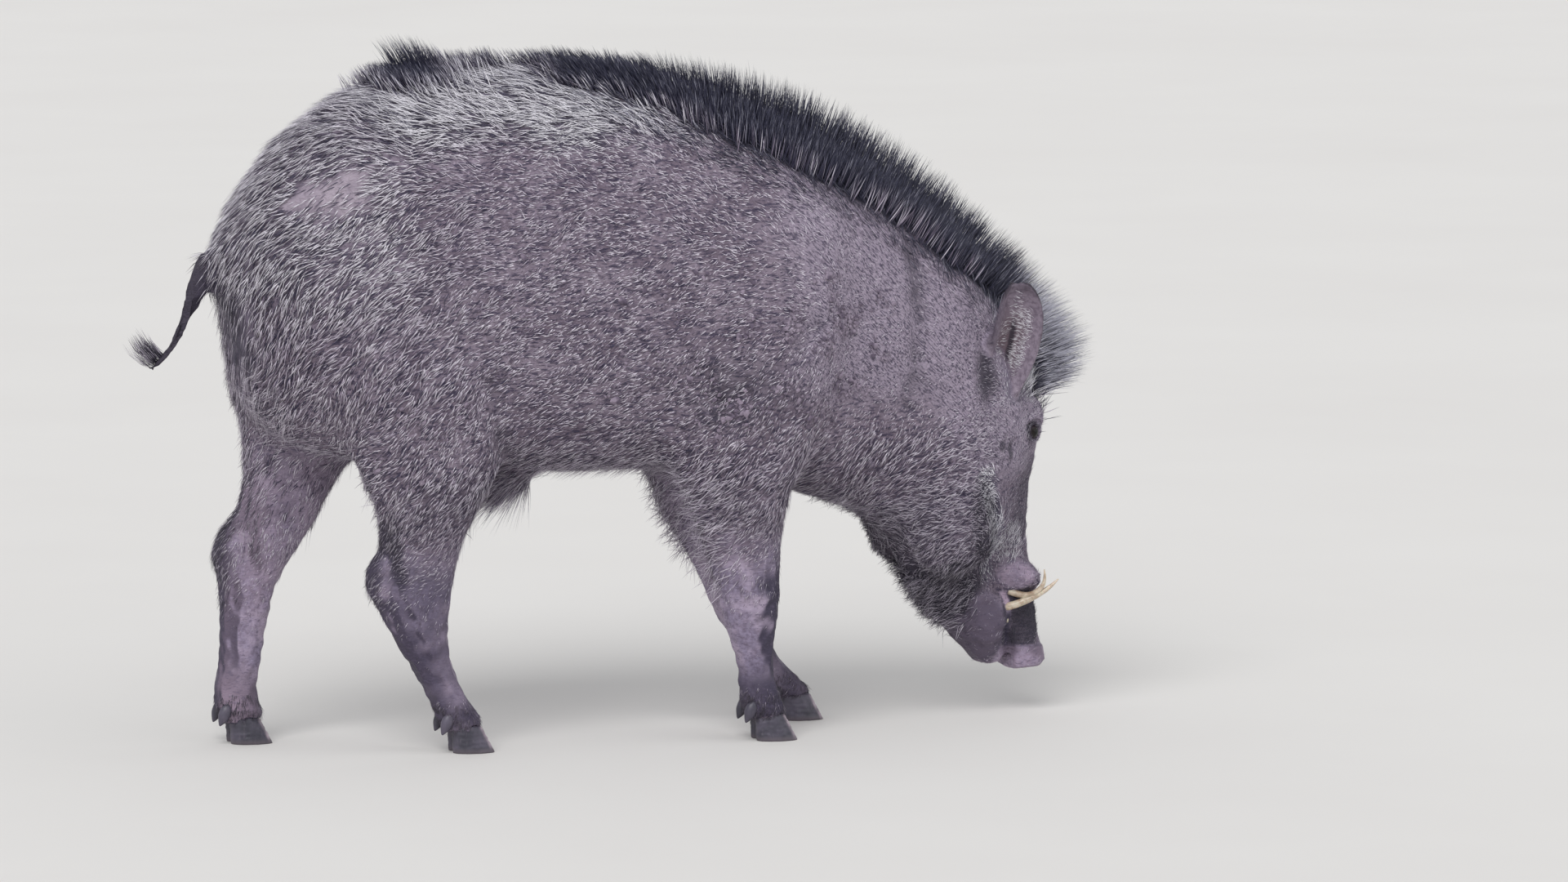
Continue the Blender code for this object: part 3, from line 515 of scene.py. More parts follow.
# ---------------------------------------------------------------- skin
# Folds and ridges of the skin, on both sides: radius, height, and a line through (x, z) places.
FOLDS = (
    (0.013, -0.0070, CHEEK_FOLD),
    (0.012, -0.0075, SHOULDER_FOLD),
    (0.030, 0.0070, ((0.225, 0.545), (0.170, 0.480), (0.110, 0.430))),     # elbow's swell
    (0.014, -0.0065, FLANK_FOLD),
    (0.010, -0.0040, ((0.484, 0.345), (0.4995, 0.259), (0.518, 0.195))),     # cheek and muzzle
    (0.0055, -0.0036, ((0.532, 0.222), (0.552, 0.224), (0.574, 0.226))),     # over the lip
    (0.0045, -0.0042, ((0.532, 0.176), (0.552, 0.165), (0.578, 0.167))),     # under the lip
    (0.0120, 0.0042, ((0.548, 0.192), (0.576, 0.191))),     # the lip flap
    (0.006, 0.0018, ((0.545, 0.300), (0.560, 0.250), (0.566, 0.226))),     # muzzle's edge
    (0.006, -0.0022, ((0.470, 0.165), (0.500, 0.152), (0.530, 0.155))),     # chin
    (0.0045, -0.0014, ((0.478, 0.138), (0.505, 0.130), (0.532, 0.136))),
    (0.0045, -0.0014, ((0.484, 0.118), (0.512, 0.110), (0.538, 0.117))),
    (0.0045, -0.0014, ((0.494, 0.099), (0.520, 0.092), (0.540, 0.098))),
    (0.012, -0.0060, ((0.480, 0.515), (0.476, 0.480), (0.484, 0.445))),     # behind the ear
    (0.011, 0.0022, ((0.548, 0.455), (0.566, 0.430), (0.580, 0.410))),     # brow
    (0.008, -0.0030, ((0.100, 0.330), (0.135, 0.345), (0.180, 0.335))),     # elbow
    (0.012, 0.0035, ((0.128, 0.232), (0.142, 0.205))),     # wrist
    (0.006, -0.0026, ((0.116, 0.255), (0.138, 0.180), (0.150, 0.090))),     # its tendon
    (0.005, -0.0016, ((0.125, 0.188), (0.160, 0.182), (0.190, 0.188))),
    (0.009, -0.0045, ((-0.345, 0.345), (-0.355, 0.285), (-0.335, 0.225))),     # near hock
    (0.006, -0.0024, ((-0.330, 0.215), (-0.300, 0.140), (-0.268, 0.080))),
    (0.010, -0.0045, ((-0.508, 0.340), (-0.505, 0.290), (-0.492, 0.240))),     # far hock
    (0.006, -0.0024, ((-0.520, 0.215), (-0.522, 0.140), (-0.515, 0.080))),
)
# Small bumps and pits in front of the eye: radius, height, x and z
KNOBS = ((0.0045, 0.0026, 0.519, 0.364), (0.0060, -0.0040, 0.523, 0.377), (0.0045, 0.0020, 0.527, 0.392),
         (0.0040, 0.0022, 0.504, 0.380), (0.0040, 0.0018, 0.510, 0.398), (0.0050, -0.0020, 0.512, 0.386))
HOCKS = ((-0.392, 0.238), (-0.545, 0.280))      # the points of the near and the far hock, as x and z


LEG_DEPTH = 0.0022              # how far the skin of the legs lies under the tips of the coat
HEAD_DEPTH = 0.0035
FOOT_DEPTH = 0.0015
EAR_DEPTH = 0.0012
TAIL_DEPTH = 0.0034
SOLE_HEIGHT = 0.0006            # the least height of the skin over the ground


def coat_depth(d, deepest):
    """How far the skin lies under the tips of the coat: deepest on the trunk, and least on the feet."""
    x, _, z = d.T
    depth = LEG_DEPTH + (deepest - LEG_DEPTH) * ease(z, 0.24, 0.40)
    depth = depth + (HEAD_DEPTH - depth) * ease(x, 0.40, 0.50)
    return np.where((x < -0.57) | (z < 0.05), FOOT_DEPTH, depth)


def eye_frame(side):
    """An eyeball's centre and radius, and the ways out of the head, along the opening and to its rear."""
    low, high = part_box(f"eye_{side}")
    way = -1 if side == "right" else 1
    out = turned(unit(np.array([[0.30, way, 0.02]])), np.array([1.0]))[0]
    along = turned(unit(np.array([[-0.28, 0.0, 1.0]])), np.array([1.0]))[0]
    along = unit(np.array([along - out * (along @ out)]))[0]
    radius = (high - low).length / (2 * math.sqrt(3))
    return np.array((low + high) / 2), radius, out, along, np.cross(out, along) * -way


LID_LENGTH = 0.0094             # half of the opening between the lids, along it and across it
LID_WIDTH = 0.0080
LID_SPREAD = 0.0088             # half of the lids' outline, across the opening
LID_REACH = 0.036               # how far from the eye the skin is shaped


def open_lids(points, side):
    """Sinks the skin behind the eyeball in an almond opening, and lays rolled, creased lids round it."""
    centre, radius, out, along, rearward = eye_frame(side)
    u, v, h = ((points - centre) @ axis for axis in (along, rearward, out))
    close = (np.sqrt(u * u + v * v) < LID_REACH) & (h > -0.016)
    taper = 1 - 0.35 * np.clip(u / 0.011, -1, 1) ** 2
    almond = np.sqrt((u / LID_LENGTH) ** 2 + (v / (LID_WIDTH * taper)) ** 2)
    spread = np.sqrt((u / LID_LENGTH) ** 2 + (v / LID_SPREAD) ** 2)
    ball = np.sqrt(np.maximum(radius ** 2 - u * u - v * v, 0))
    lid = np.maximum(ball, 0.55 * radius) + 0.0016
    inside = ease(almond, 1.12, 0.90)
    on_lid = ease(spread, 2.10, 1.40)
    height = h + (lid - h) * on_lid
    height = height + (ball - 0.0045 - height) * inside
    outside = ease(spread, 1.35, 1.65)
    crease = np.exp(-((np.abs(u - 0.0135) - 0.05 * v) / 0.0017) ** 2)
    height -= 0.0018 * crease * ease(np.abs(v), 0.016, 0.008)
    wrinkles = np.cos(2 * math.pi * (v + 0.10 * u) / 0.0046)
    height += (0.0008 * wrinkles * outside * ease(v, 0.006, 0.009) * ease(v, 0.030, 0.022)
               * ease(np.abs(u + 0.004), 0.022, 0.010))
    height += 0.0006 * np.sin(spread * 6.0) * outside * ease(spread, 3.4, 2.4) * ease(v, 0.004, -0.004)
    points[close] += ((height - h)[:, None] * out)[close]


def nostrils(points):
    """Two round pits in the flat of the snout disc, which faces along the muzzle."""
    low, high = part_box("snout_disc")
    middle = np.array((low + high) / 2)
    d, centre = drawn(points), drawn(middle[None])[0]
    for side in (-1, 1):
        across = np.hypot(d[:, 0] - centre[0] - 0.004, d[:, 1] - side * 0.013)
        below = ease(d[:, 2], low.z + 0.016, low.z + 0.006)
        points[:, 2] += 0.016 * ease(across, 0.0075, 0.0040) * below


class BoarSkin(bpy.types.Operator):
    """Fuses the flesh into one skin, lying under the tips of the coat, with its folds, lids and markings"""
    bl_idname = "boar.skin"
    bl_label = "Skin"

    def execute(self, context):
        settings = context.scene.boar_skin
        skin = copy_of_nodes("skin", FLESH, swell=0.0006)
        skin.data.remesh_voxel_size = settings.grain
        bpy.ops.object.voxel_remesh()
        self.smooth(skin)
        self.refine(skin, settings)
        self.sculpt(skin, settings)
        self.unwrap_and_mark(skin)
        skin.data.materials.append(skin_material(settings))
        bpy.ops.object.shade_smooth()
        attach(skin, "root")
        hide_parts(*FLESH)
        return {"FINISHED"}

    def smooth(self, skin):
        """Takes the facets out of the trunk, and hardly touches the ears, the tail and the feet."""
        points = vertices_of(skin.data)
        x, _, z = drawn(points).T
        plain = (0.04 + 0.66 * ease(z, 0.16, 0.36) * ease(x, 0.50, 0.36)
                 + 0.30 * ease(z, 0.42, 0.54) * ease(x, 0.44, 0.30))
        thin = nearness(points, ["ear_left", "ear_right", "tail", "snout_disc"], 0.006)
        weigh(skin, "plain", plain * ease(thin, 0.9, 0.0))
        apply(skin, "SMOOTH", factor=0.5, iterations=110, vertex_group="plain")
        apply(skin, "SMOOTH", factor=0.5, iterations=3)
        skin.vertex_groups.clear()

    def refine(self, skin, settings):
        """Thins the trunk, and gives the lids and the glands before them finer faces."""
        centres = drawn(face_centres(skin.data))
        select_faces(skin, (centres[:, 0] < 0.43) & (centres[:, 2] > 0.20))
        bpy.ops.mesh.decimate(ratio=settings.thinning)
        bpy.ops.object.mode_set(mode="OBJECT")
        for reach, gland_reach in ((0.030, 0.022), (0.024, 0.0)):
            centres = face_centres(skin.data)
            d = drawn(centres)
            fine = np.hypot(d[:, 0] - 0.516, d[:, 2] - 0.380) < gland_reach
            for side in ("left", "right"):
                fine |= np.linalg.norm(centres - eye_frame(side)[0], axis=1) < reach
            select_faces(skin, fine)
            bpy.ops.mesh.subdivide(number_cuts=1)
            bpy.ops.object.mode_set(mode="OBJECT")

    def sculpt(self, skin, settings):
        """Sinks the skin by the coat's depth, then shapes folds, knobs, hocks, ears, lids and nostrils."""
        points = vertices_of(skin.data)
        normals = vertex_normals(skin.data)
        d = drawn(points)
        thin = nearness(points, ["ear_left", "ear_right", "snout_disc"], 0.010)
        tail = nearness(points, ["tail"], 0.010) * ease(d[:, 0], -0.575, -0.590)
        depth = coat_depth(d, settings.coat_depth)
        depth = depth + (EAR_DEPTH - depth) * ease(thin, 0.0, 0.6)
        depth = depth + (TAIL_DEPTH - depth) * ease(tail, 0.0, 0.6)
        thin = np.maximum(thin, tail)
        lift = -depth
        facing = ease(np.abs(normals[:, 1]), 0.15, 0.5)
        for radius, height, line in FOLDS:
            gap = distance_to_line(d[:, [0, 2]], line)
            lift += height * np.exp(-(gap / radius) ** 2) * facing * (1 - thin)
        for radius, height, x, z in KNOBS:
            lift += height * np.exp(-(np.hypot(d[:, 0] - x, d[:, 2] - z) / radius) ** 2) * facing
        for x, z in HOCKS:
            point = ease(np.hypot(d[:, 0] - x, d[:, 2] - z), 0.060, 0.015)
            lift += 0.009 * point * ease(-normals[:, 0], 0.0, 0.6)
        body = ease(d[:, 2], 0.20, 0.34)
        lift += (0.0010 * drift(d, 0.055, 21) + 0.0005 * drift(d, 0.020, 22)) * body * (1 - thin)
        lift += 0.0006 * drift(d, 0.012, 23) * tail
        lift += 0.0007 * drift(d, 0.018, 24) * (1 - body) * (1 - thin)
        points += normals * lift[:, None]
        self.hollow_ears(points, d, normals)
        for side in ("left", "right"):
            open_lids(points, side)
        nostrils(points)
        points[:, 2] = np.maximum(points[:, 2], SOLE_HEIGHT)
        put_vertices(skin.data, points)

    def hollow_ears(self, points, d, normals):
        """Deepens the cup of each ear behind a rolled rim, which stays thick."""
        across, up = on_ear(d)
        ear = ease(nearness(points, ["ear_left", "ear_right"], 0.010), 0.2, 0.9)
        middle = ease(np.abs(across), 0.92, 0.45) * ease(up, 0.02, 0.20) * ease(up, 0.97, 0.80) * ear
        side = np.sign(d[:, 1])
        outer = ease(normals[:, 1] * side, 0.1, 0.5)
        inward = turned(np.column_stack((np.zeros(len(d)), -side, np.zeros(len(d)))), d[:, 0])
        points += inward * (middle * (0.0055 + 0.0022 * outer))[:, None]
        rim = np.exp(-((np.abs(across) - 0.93) / 0.14) ** 2) * ear * ease(up, 0.05, 0.25)
        points += normals * (0.0009 * rim)[:, None]

    def unwrap_and_mark(self, skin):
        """Lays out the skin's map, and stores its markings, to which ears, disc and tail add their own."""
        in_edit_mode(skin, lambda: bpy.ops.uv.smart_project(angle_limit=math.radians(66),
                                                            island_margin=0.003))
        skin.data.uv_layers[0].name = "OFBake"
        points, normals = vertices_of(skin.data), vertex_normals(skin.data)
        d = drawn(points)
        zones, tones = markings(d, normals)
        ear = ease(nearness(points, ["ear_left", "ear_right"], 0.014), 0.1, 0.8)
        across, up = on_ear(d)
        outer = ease(normals[:, 1] * np.sign(d[:, 1]), 0.0, 0.4)
        # hollow is painted shade in the cup of each ear, on its outer face
        hollow = ear * outer * ease(np.abs(across), 0.70, 0.25) * ease(up, 0.06, 0.25) * ease(up, 0.90, 0.55)
        disc = ease(nearness(points, ["snout_disc"], 0.004), 0, 0.7) * ease(d[:, 2], 0.100, 0.092)
        zones[:, 2] = np.maximum.reduce((zones[:, 2], ear, disc))
        zones[:, 0] *= 1 - ear
        tones[:, 1] = np.maximum(tones[:, 1], 0.40 * disc)
        # slit is a band of painted shade down the deepest part of the cup
        slit = ease(np.abs(across - 0.12 + 0.3 * (up - 0.4)), 0.17, 0.04)
        slit = slit * ease(up, 0.22, 0.34) * ease(up, 0.74, 0.60)
        rim = 0.55 * ease(np.abs(across), 0.72, 0.95) * ease(up, 0.25, 0.50) + 0.5 * ease(up, 0.80, 0.97)
        in_ear = ear * np.maximum(slit * outer, rim)
        on_tail = ease(nearness(points, ["tail"], 0.012), 0.1, 0.6) * ease(d[:, 0], -0.545, -0.570)
        tones[:, 0] = np.maximum.reduce((tones[:, 0] * (1 - ear), in_ear, 0.95 * on_tail))
        point_colours(skin.data, "zones", zones)
        point_colours(skin.data, "tones", tones)
        neck = ease(d[:, 0], 0.14, 0.24) * ease(d[:, 2] + 0.12 * ease(d[:, 0], 0.38, 0.46), 0.42, 0.50)
        point_colours(skin.data, "ears", np.column_stack((ear, hollow, neck)))


def skin_material(settings):
    """Boar hide: thick, wrinkled skin under a thin coat of dried mud. It is a dull mauve brown, darker in the
    hollows and folds with painted shade, and finely cracked, with a faint shine where the skin is bare."""
    made, tree, shader, place = new_material("muddy_boar_hide", roughness=0.75, ior=1.38)
    crest, grizzled, bare = attribute(tree, "zones")[:3]
    dark, flush, dried = attribute(tree, "tones")[:3]
    ear, hollow, neck = attribute(tree, "ears")[:3]
    blotches = noise(tree, place, 60)
    grit = noise(tree, place, 6)
    slanted = add_node(tree, "ShaderNodeVectorRotate", {"Vector": place, "Angle": math.radians(-42)},
                       rotation_type="Y_AXIS").outputs["Vector"]
    # strokes run along the flank and slant on the neck: their dark colour is painted shade between the
    # bristles, and their relief the mark of bristles pressed in the mud
    strokes = colour_mix(tree, neck, noise(tree, place, 3.6, (0.22, 1, 1)),
                         noise(tree, slanted, 1.9, (0.22, 1, 1)))
    wrinkles = noise(tree, place, 2.6, (0.35, 0.35, 1))    # fine folds that run round a limb
    mud = layered(tree, list(settings.mud),
                  (linear("6d616f"), blotches, 0.38, 0.64, 1.0),
                  (linear("a599aa"), neck, 0.0, 1.0, 0.75),
                  (linear("3d374c"), strokes, 0.45, 0.62, 0.85),
                  (linear("aea1b2"), grit, 0.56, 0.72, 0.55),
                  (linear("6f6879"), grizzled, 0.2, 1.0, 0.75))
    mud = colour_mix(tree, dried, mud, colour_mix(tree, blotches, list(settings.pale_dust), linear("908494")))
    # dark darkens the mud here and the bare hide below: dark hair, mud and skin, and painted shade in the
    # folds, hollows, mouth, behind the ear and under the belly
    mud = layered(tree, mud, (list(settings.dark_mud_and_shade), dark, 0.10, 0.95, 0.92))
    hide = layered(tree, list(settings.bare),
                   (linear("6d6276"), grit, 0.35, 0.70, 1.0),
                   (linear("ab9cb0"), blotches, 0.42, 0.60, 0.75),
                   (linear("312c40"), dark, 0.10, 0.85, 0.95),
                   (list(settings.flush), flush, 0.0, 1.0, 0.85),
                   (linear("574e63"), wrinkles, 0.53, 0.66, 0.55))
    velvet = layered(tree, linear("8d818f"), (linear("6d6170"), grit, 0.35, 0.70, 1.0))
    # the ear's hollow darkens as painted shade in its cup
    velvet = colour_mix(tree, hollow, velvet, colour_mix(tree, grit, linear("4c3f4a"), linear("78666f")))
    velvet = layered(tree, velvet, (linear("2d2631"), dark, 0.15, 0.9, 0.9))
    hide = colour_mix(tree, ear, hide, velvet)
    mud = colour_mix(tree, bare, mud, hide)
    mud = colour_mix(tree, crest, mud, list(settings.crest))
    tree.links.new(mud, shader.inputs["Base Color"])
    cracks = add_node(tree, "ShaderNodeTexVoronoi", {"Vector": place, "Scale": 1000 / 9},
                      feature="DISTANCE_TO_EDGE").outputs["Distance"]
    relief = sum_of(tree, strokes, between(tree, cracks, 0.0, 0.12), 0.30)
    relief = sum_of(tree, relief, grit, 1.0)
    relief = sum_of(tree, relief, wrinkles, 0.9)
    give_relief(tree, shader, relief, between(tree, bare, 0.0, 1.0, 0.85, 0.30), 0.0026)
    tree.links.new(between(tree, bare, 0.0, 1.0, 0.85, 0.60), shader.inputs["Roughness"])
    return made


# ---------------------------------------------------------------- how hair grows
# The lie of the coat: at an (x, z) place of the drawing, the way (x, z) that hair points.
LIE = np.array((
    (-0.540, 0.620, -0.45, -0.90), (-0.450, 0.760, -0.94, -0.34), (-0.350, 0.860, -0.82, 0.57),
    (-0.220, 0.890, -0.76, 0.65), (-0.060, 0.880, -0.84, 0.54), (0.020, 0.860, -0.76, 0.64),
    (-0.230, 0.800, -0.97, 0.20), (-0.080, 0.800, -0.97, 0.26), (0.580, 0.500, 0.86, 0.50),
    (-0.340, 0.680, -0.90, -0.44), (-0.440, 0.500, -0.66, -0.75), (-0.300, 0.480, -0.85, -0.52),
    (-0.150, 0.700, -1.00, -0.06), (-0.100, 0.500, -0.97, -0.24), (-0.100, 0.370, -0.94, -0.34),
    (0.050, 0.620, -1.00, -0.10), (0.100, 0.760, -0.80, 0.50), (0.120, 0.460, -0.88, -0.46),
    (0.250, 0.680, -0.62, 0.66), (0.260, 0.500, -0.88, -0.36), (0.300, 0.380, -0.70, -0.70),
    (0.380, 0.640, -0.48, 0.78), (0.420, 0.480, -0.80, -0.40), (0.480, 0.400, -0.90, -0.10),
    (0.470, 0.300, -0.97, -0.10), (0.430, 0.210, -0.80, -0.55), (0.500, 0.150, -0.70, -0.30),
    (0.505, 0.260, -0.30, 0.92), (0.545, 0.220, -0.10, 0.98), (0.575, 0.340, -0.10, 1.00),
    (0.600, 0.440, 0.70, 0.72), (0.560, 0.130, 0.75, 0.60), (0.180, 0.330, -0.85, -0.52),
    (0.190, 0.100, -0.30, -0.95), (-0.230, 0.300, -0.80, -0.60), (-0.250, 0.100, -0.30, -0.95),
    (-0.430, 0.300, -0.60, -0.80), (-0.500, 0.100, -0.20, -1.00), (-0.610, 0.550, -0.60, -0.80),
))


def lie_of_coat(d, normals, rng, stray):
    """Which way the hair points at each place, along the skin, with drifting partings and stray hairs."""
    gaps = np.linalg.norm(d[:, None, [0, 2]] - LIE[None, :, :2], axis=2)
    pull = 1 / (gaps ** 2 + 0.0009) ** 1.6
    way = (pull @ LIE[:, 2:]) / pull.sum(axis=1)[:, None]
    angle = np.arctan2(way[:, 1], way[:, 0])
    angle += 0.18 * drift(d, 0.11, 31) + 0.18 * drift(d, 0.035, 32) + rng.normal(0, stray, len(d))
    way = turned(np.column_stack((np.cos(angle), np.zeros(len(d)), np.sin(angle))), d[:, 0])
    return along_skin(way, normals)


def along_skin(ways, normals):
    """What is left of each way once it is laid flat on the skin."""
    return unit(ways - normals * (ways * normals).sum(axis=1)[:, None])


class Hide:
    """The finished skin as the coat needs it: where hair can root, and what the skin is like there."""

    def __init__(self):
        mesh = bpy.data.objects["skin"].data
        mesh.calc_loop_triangles()
        loops = rows_of(mesh.loop_triangles, "loops", 3, np.int32)
        self.corners = rows_of(mesh.loop_triangles, "vertices", 3, np.int32)
        self.points = vertices_of(mesh)
        self.normals = vertex_normals(mesh)
        self.unwrap = rows_of(mesh.uv_layers["OFBake"].data, "uv", 2)[loops]
        self.marks = np.hstack([rows_of(mesh.attributes[name].data, "color", 4)[:, :3]
                                for name in ("zones", "tones", "ears")])
        a, b, c = (self.points[self.corners[:, i]] for i in range(3))
        self.areas = np.linalg.norm(np.cross(b - a, c - a), axis=1) / 2
        self.centres = drawn((a + b + c) / 3)
        self.facing = unit(np.cross(b - a, c - a))
        self.centre_marks = self.marks[self.corners].mean(axis=1)

    def roots(self, count, density, rng):
        """count random places, thicker where density, one value for each triangle, is high."""
        chance = self.areas * density
        faces = rng.choice(len(chance), count, p=chance / chance.sum())
        share = rng.dirichlet((1, 1, 1), count)

        def mixed(values):
            return (values * share[:, :, None]).sum(axis=1)

        corners = self.corners[faces]
        return Roots(mixed(self.points[corners]), unit(mixed(self.normals[corners])),
                     mixed(self.unwrap[faces]), mixed(self.marks[corners]))


CREST, GRIZZLED, BARE, DARK, DRIED, EAR = 0, 1, 2, 3, 5, 6     # the columns of marks that the coat reads


class Roots:
    """Where some hairs grow: places, the skin's normals, places on its unwrap, and its markings."""

    def __init__(self, points, normals, unwrap, marks):
        self.points, self.normals, self.unwrap, self.marks = points, normals, unwrap, marks
        self.drawn = drawn(points)

    def __len__(self):
        return len(self.points)

    def part(self, chosen):
        return Roots(self.points[chosen], self.normals[chosen], self.unwrap[chosen], self.marks[chosen])


def strand_faces(rings):
    """The triangles of one closed strand. Point 0 is its root, each ring has three, and the last is its tip.
    A strand with no ring has three points at its root."""
    if not rings:
        return np.array(((0, 2, 1), (0, 1, 3), (1, 2, 3), (2, 0, 3)))
    tip = 1 + 3 * rings
    sides = ((0, 1), (1, 2), (2, 0))
    faces = [(1 + i, 1 + j, 0) for i, j in sides]
    for low in range(1, tip - 3, 3):
        for i, j in sides:
            faces += [(low + i, low + 3 + i, low + 3 + j), (low + i, low + 3 + j, low + j)]
    faces += [(tip - 3 + i, tip, tip - 3 + j) for i, j in sides]
    return np.array(faces)


PATCH = 0.0015          # half of a strand's patch on the unwrap
RIDGE = 0.6             # how high a strand's section is for its width
SINK = 0.0015           # how deep a strand's root sits in the skin


def grow(name, roots, start, end, lengths, widths, tone, finish, rings=(0.38,)):
    """A piece of closed, tapered strands. Each sets out along start and bends to end over its length.

    rings are the shares of the length at which a strand has a ring of three points. tone, from 0 to 1, says
    whether a strand is dark, muddy or pale.
    """
    count = len(roots)
    lengths = lengths[:, None]
    side = unit(np.cross(start, roots.normals))
    up = np.cross(start, side)
    up *= np.sign((up * roots.normals).sum(axis=1))[:, None]
    base = roots.points - roots.normals * SINK
    bend = base + start * lengths / 2
    tip = bend + end * lengths / 2
    shape = [base] if rings else []
    along = [np.zeros(count)] if rings else []
    across = [np.zeros(count)] if rings else []
    for share in rings or (0.0,):
        middle = base * (1 - share) ** 2 + bend * 2 * share * (1 - share) + tip * share ** 2
        width = (widths * (1 - share) ** 0.5)[:, None]
        shape += [middle + side * width, middle + up * width * RIDGE, middle - side * width]
        along += [np.full(count, share)] * 3
        across += [np.full(count, 1.0), np.zeros(count), np.full(count, -1.0)]
    shape.append(tip)
    along.append(np.ones(count))
    across.append(np.zeros(count))
    points = np.stack(shape, axis=1)
    along, across = np.stack(along, axis=1), np.stack(across, axis=1)
    each = points.shape[1]
    faces = (strand_faces(len(rings))[None] + (np.arange(count) * each)[:, None, None]).reshape(-1, 3)
    unwrap = roots.unwrap[:, None] + PATCH * np.stack((across, 2 * along - 1), axis=2)
    piece = piece_from_arrays(name, points.reshape(-1, 3), faces, unwrap.reshape(-1, 2))
    # dark is the skin's dark mark at the root, with its painted shade, which darkens the strand too
    tone, dark = np.repeat(tone, each), np.repeat(roots.marks[:, DARK], each)
    point_colours(piece.data, "zones", np.repeat(roots.marks[:, :3], each, axis=0))
    point_colours(piece.data, "strand", np.column_stack((along.ravel(), tone, dark)))
    piece.data.materials.append(finish)
    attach(piece, "root")
    return piece


def piece_from_arrays(name, points, faces, unwrap):
    """A joined mesh of many small shapes, with the map that its colours are baked through."""
    mesh = bpy.data.meshes.new(name)
    mesh.vertices.add(len(points))
    mesh.vertices.foreach_set("co", points.astype(np.float32).ravel())
    mesh.loops.add(faces.size)
    mesh.loops.foreach_set("vertex_index", faces.astype(np.int32).ravel())
    mesh.polygons.add(len(faces))
    mesh.polygons.foreach_set("loop_start", np.arange(0, faces.size, 3, dtype=np.int32))
    layer = mesh.uv_layers.new(name="OFBake")
    layer.data.foreach_set("uv", unwrap[faces.ravel()].astype(np.float32).ravel())
    mesh.update(calc_edges=True)
    mesh.shade_smooth()
    made = bpy.data.objects.new(name, mesh)
    bpy.context.scene.collection.objects.link(made)
    return made


def lifted(ways, normals, angle):
    """Ways along the skin, raised from it by an angle in degrees, one for each."""
    angle = np.radians(angle)[:, None]
    return ways * np.cos(angle) + normals * np.sin(angle)


PALE_TONE = 0.57        # strands with a tone above this are pale, and below DARK_TONE dark
DARK_TONE = 0.28


def hair_material(name, settings):
    """Boar bristle: stiff, solid hair, dark and muddy at the foot, and split and pale at the tip. Its surface
    is dull with a narrow shine along each hair. Skin and coat carry the same markings."""
    made, tree, shader, _ = new_material(name, roughness=0.50, ior=1.55)
    crest, grizzled = attribute(tree, "zones")[:2]
    along, tone, dark = attribute(tree, "strand")[:3]
    shifted = sum_of(tree, tone, grizzled, 0.18)
    is_pale = between(tree, shifted, PALE_TONE - 0.01, PALE_TONE + 0.03)
    # dark darkens the hair as it does the skin: dark hair and mud, and painted shade in folds, hollows and
    # under the belly
    pale = layered(tree, linear("bcb1c2"),
                   (list(settings.tip), tone, PALE_TONE, 1.0, 1.0),
                   (list(settings.grizzle), grizzled, 0.1, 0.8, 1.0),
                   (linear("5a5466"), dark, 0.15, 1.0, 0.40))
    plain = layered(tree, linear("3a3550"),
                    (list(settings.muddy), tone, DARK_TONE - 0.02, DARK_TONE + 0.02, 1.0),
                    (linear("5d5a6e"), grizzled, 0.2, 0.9, 0.8),
                    (linear("282733"), dark, 0.15, 1.0, 0.85))
    tip = colour_mix(tree, is_pale, plain, pale)
    hair = layered(tree, list(settings.root), (tip, along, 0.02, 0.42, 1.0))
    worn = between(tree, sum_of(tree, tone, grizzled, 0.80), 0.84, 1.14)
    black = colour_mix(tree, tone, list(settings.black), linear("35354e"))
    frosted = colour_mix(tree, worn, black, list(settings.frost))
    black = layered(tree, black, (frosted, along, 0.25, 0.80, 0.9))
    hair = colour_mix(tree, crest, hair, black)
    tree.links.new(hair, shader.inputs["Base Color"])
    return made


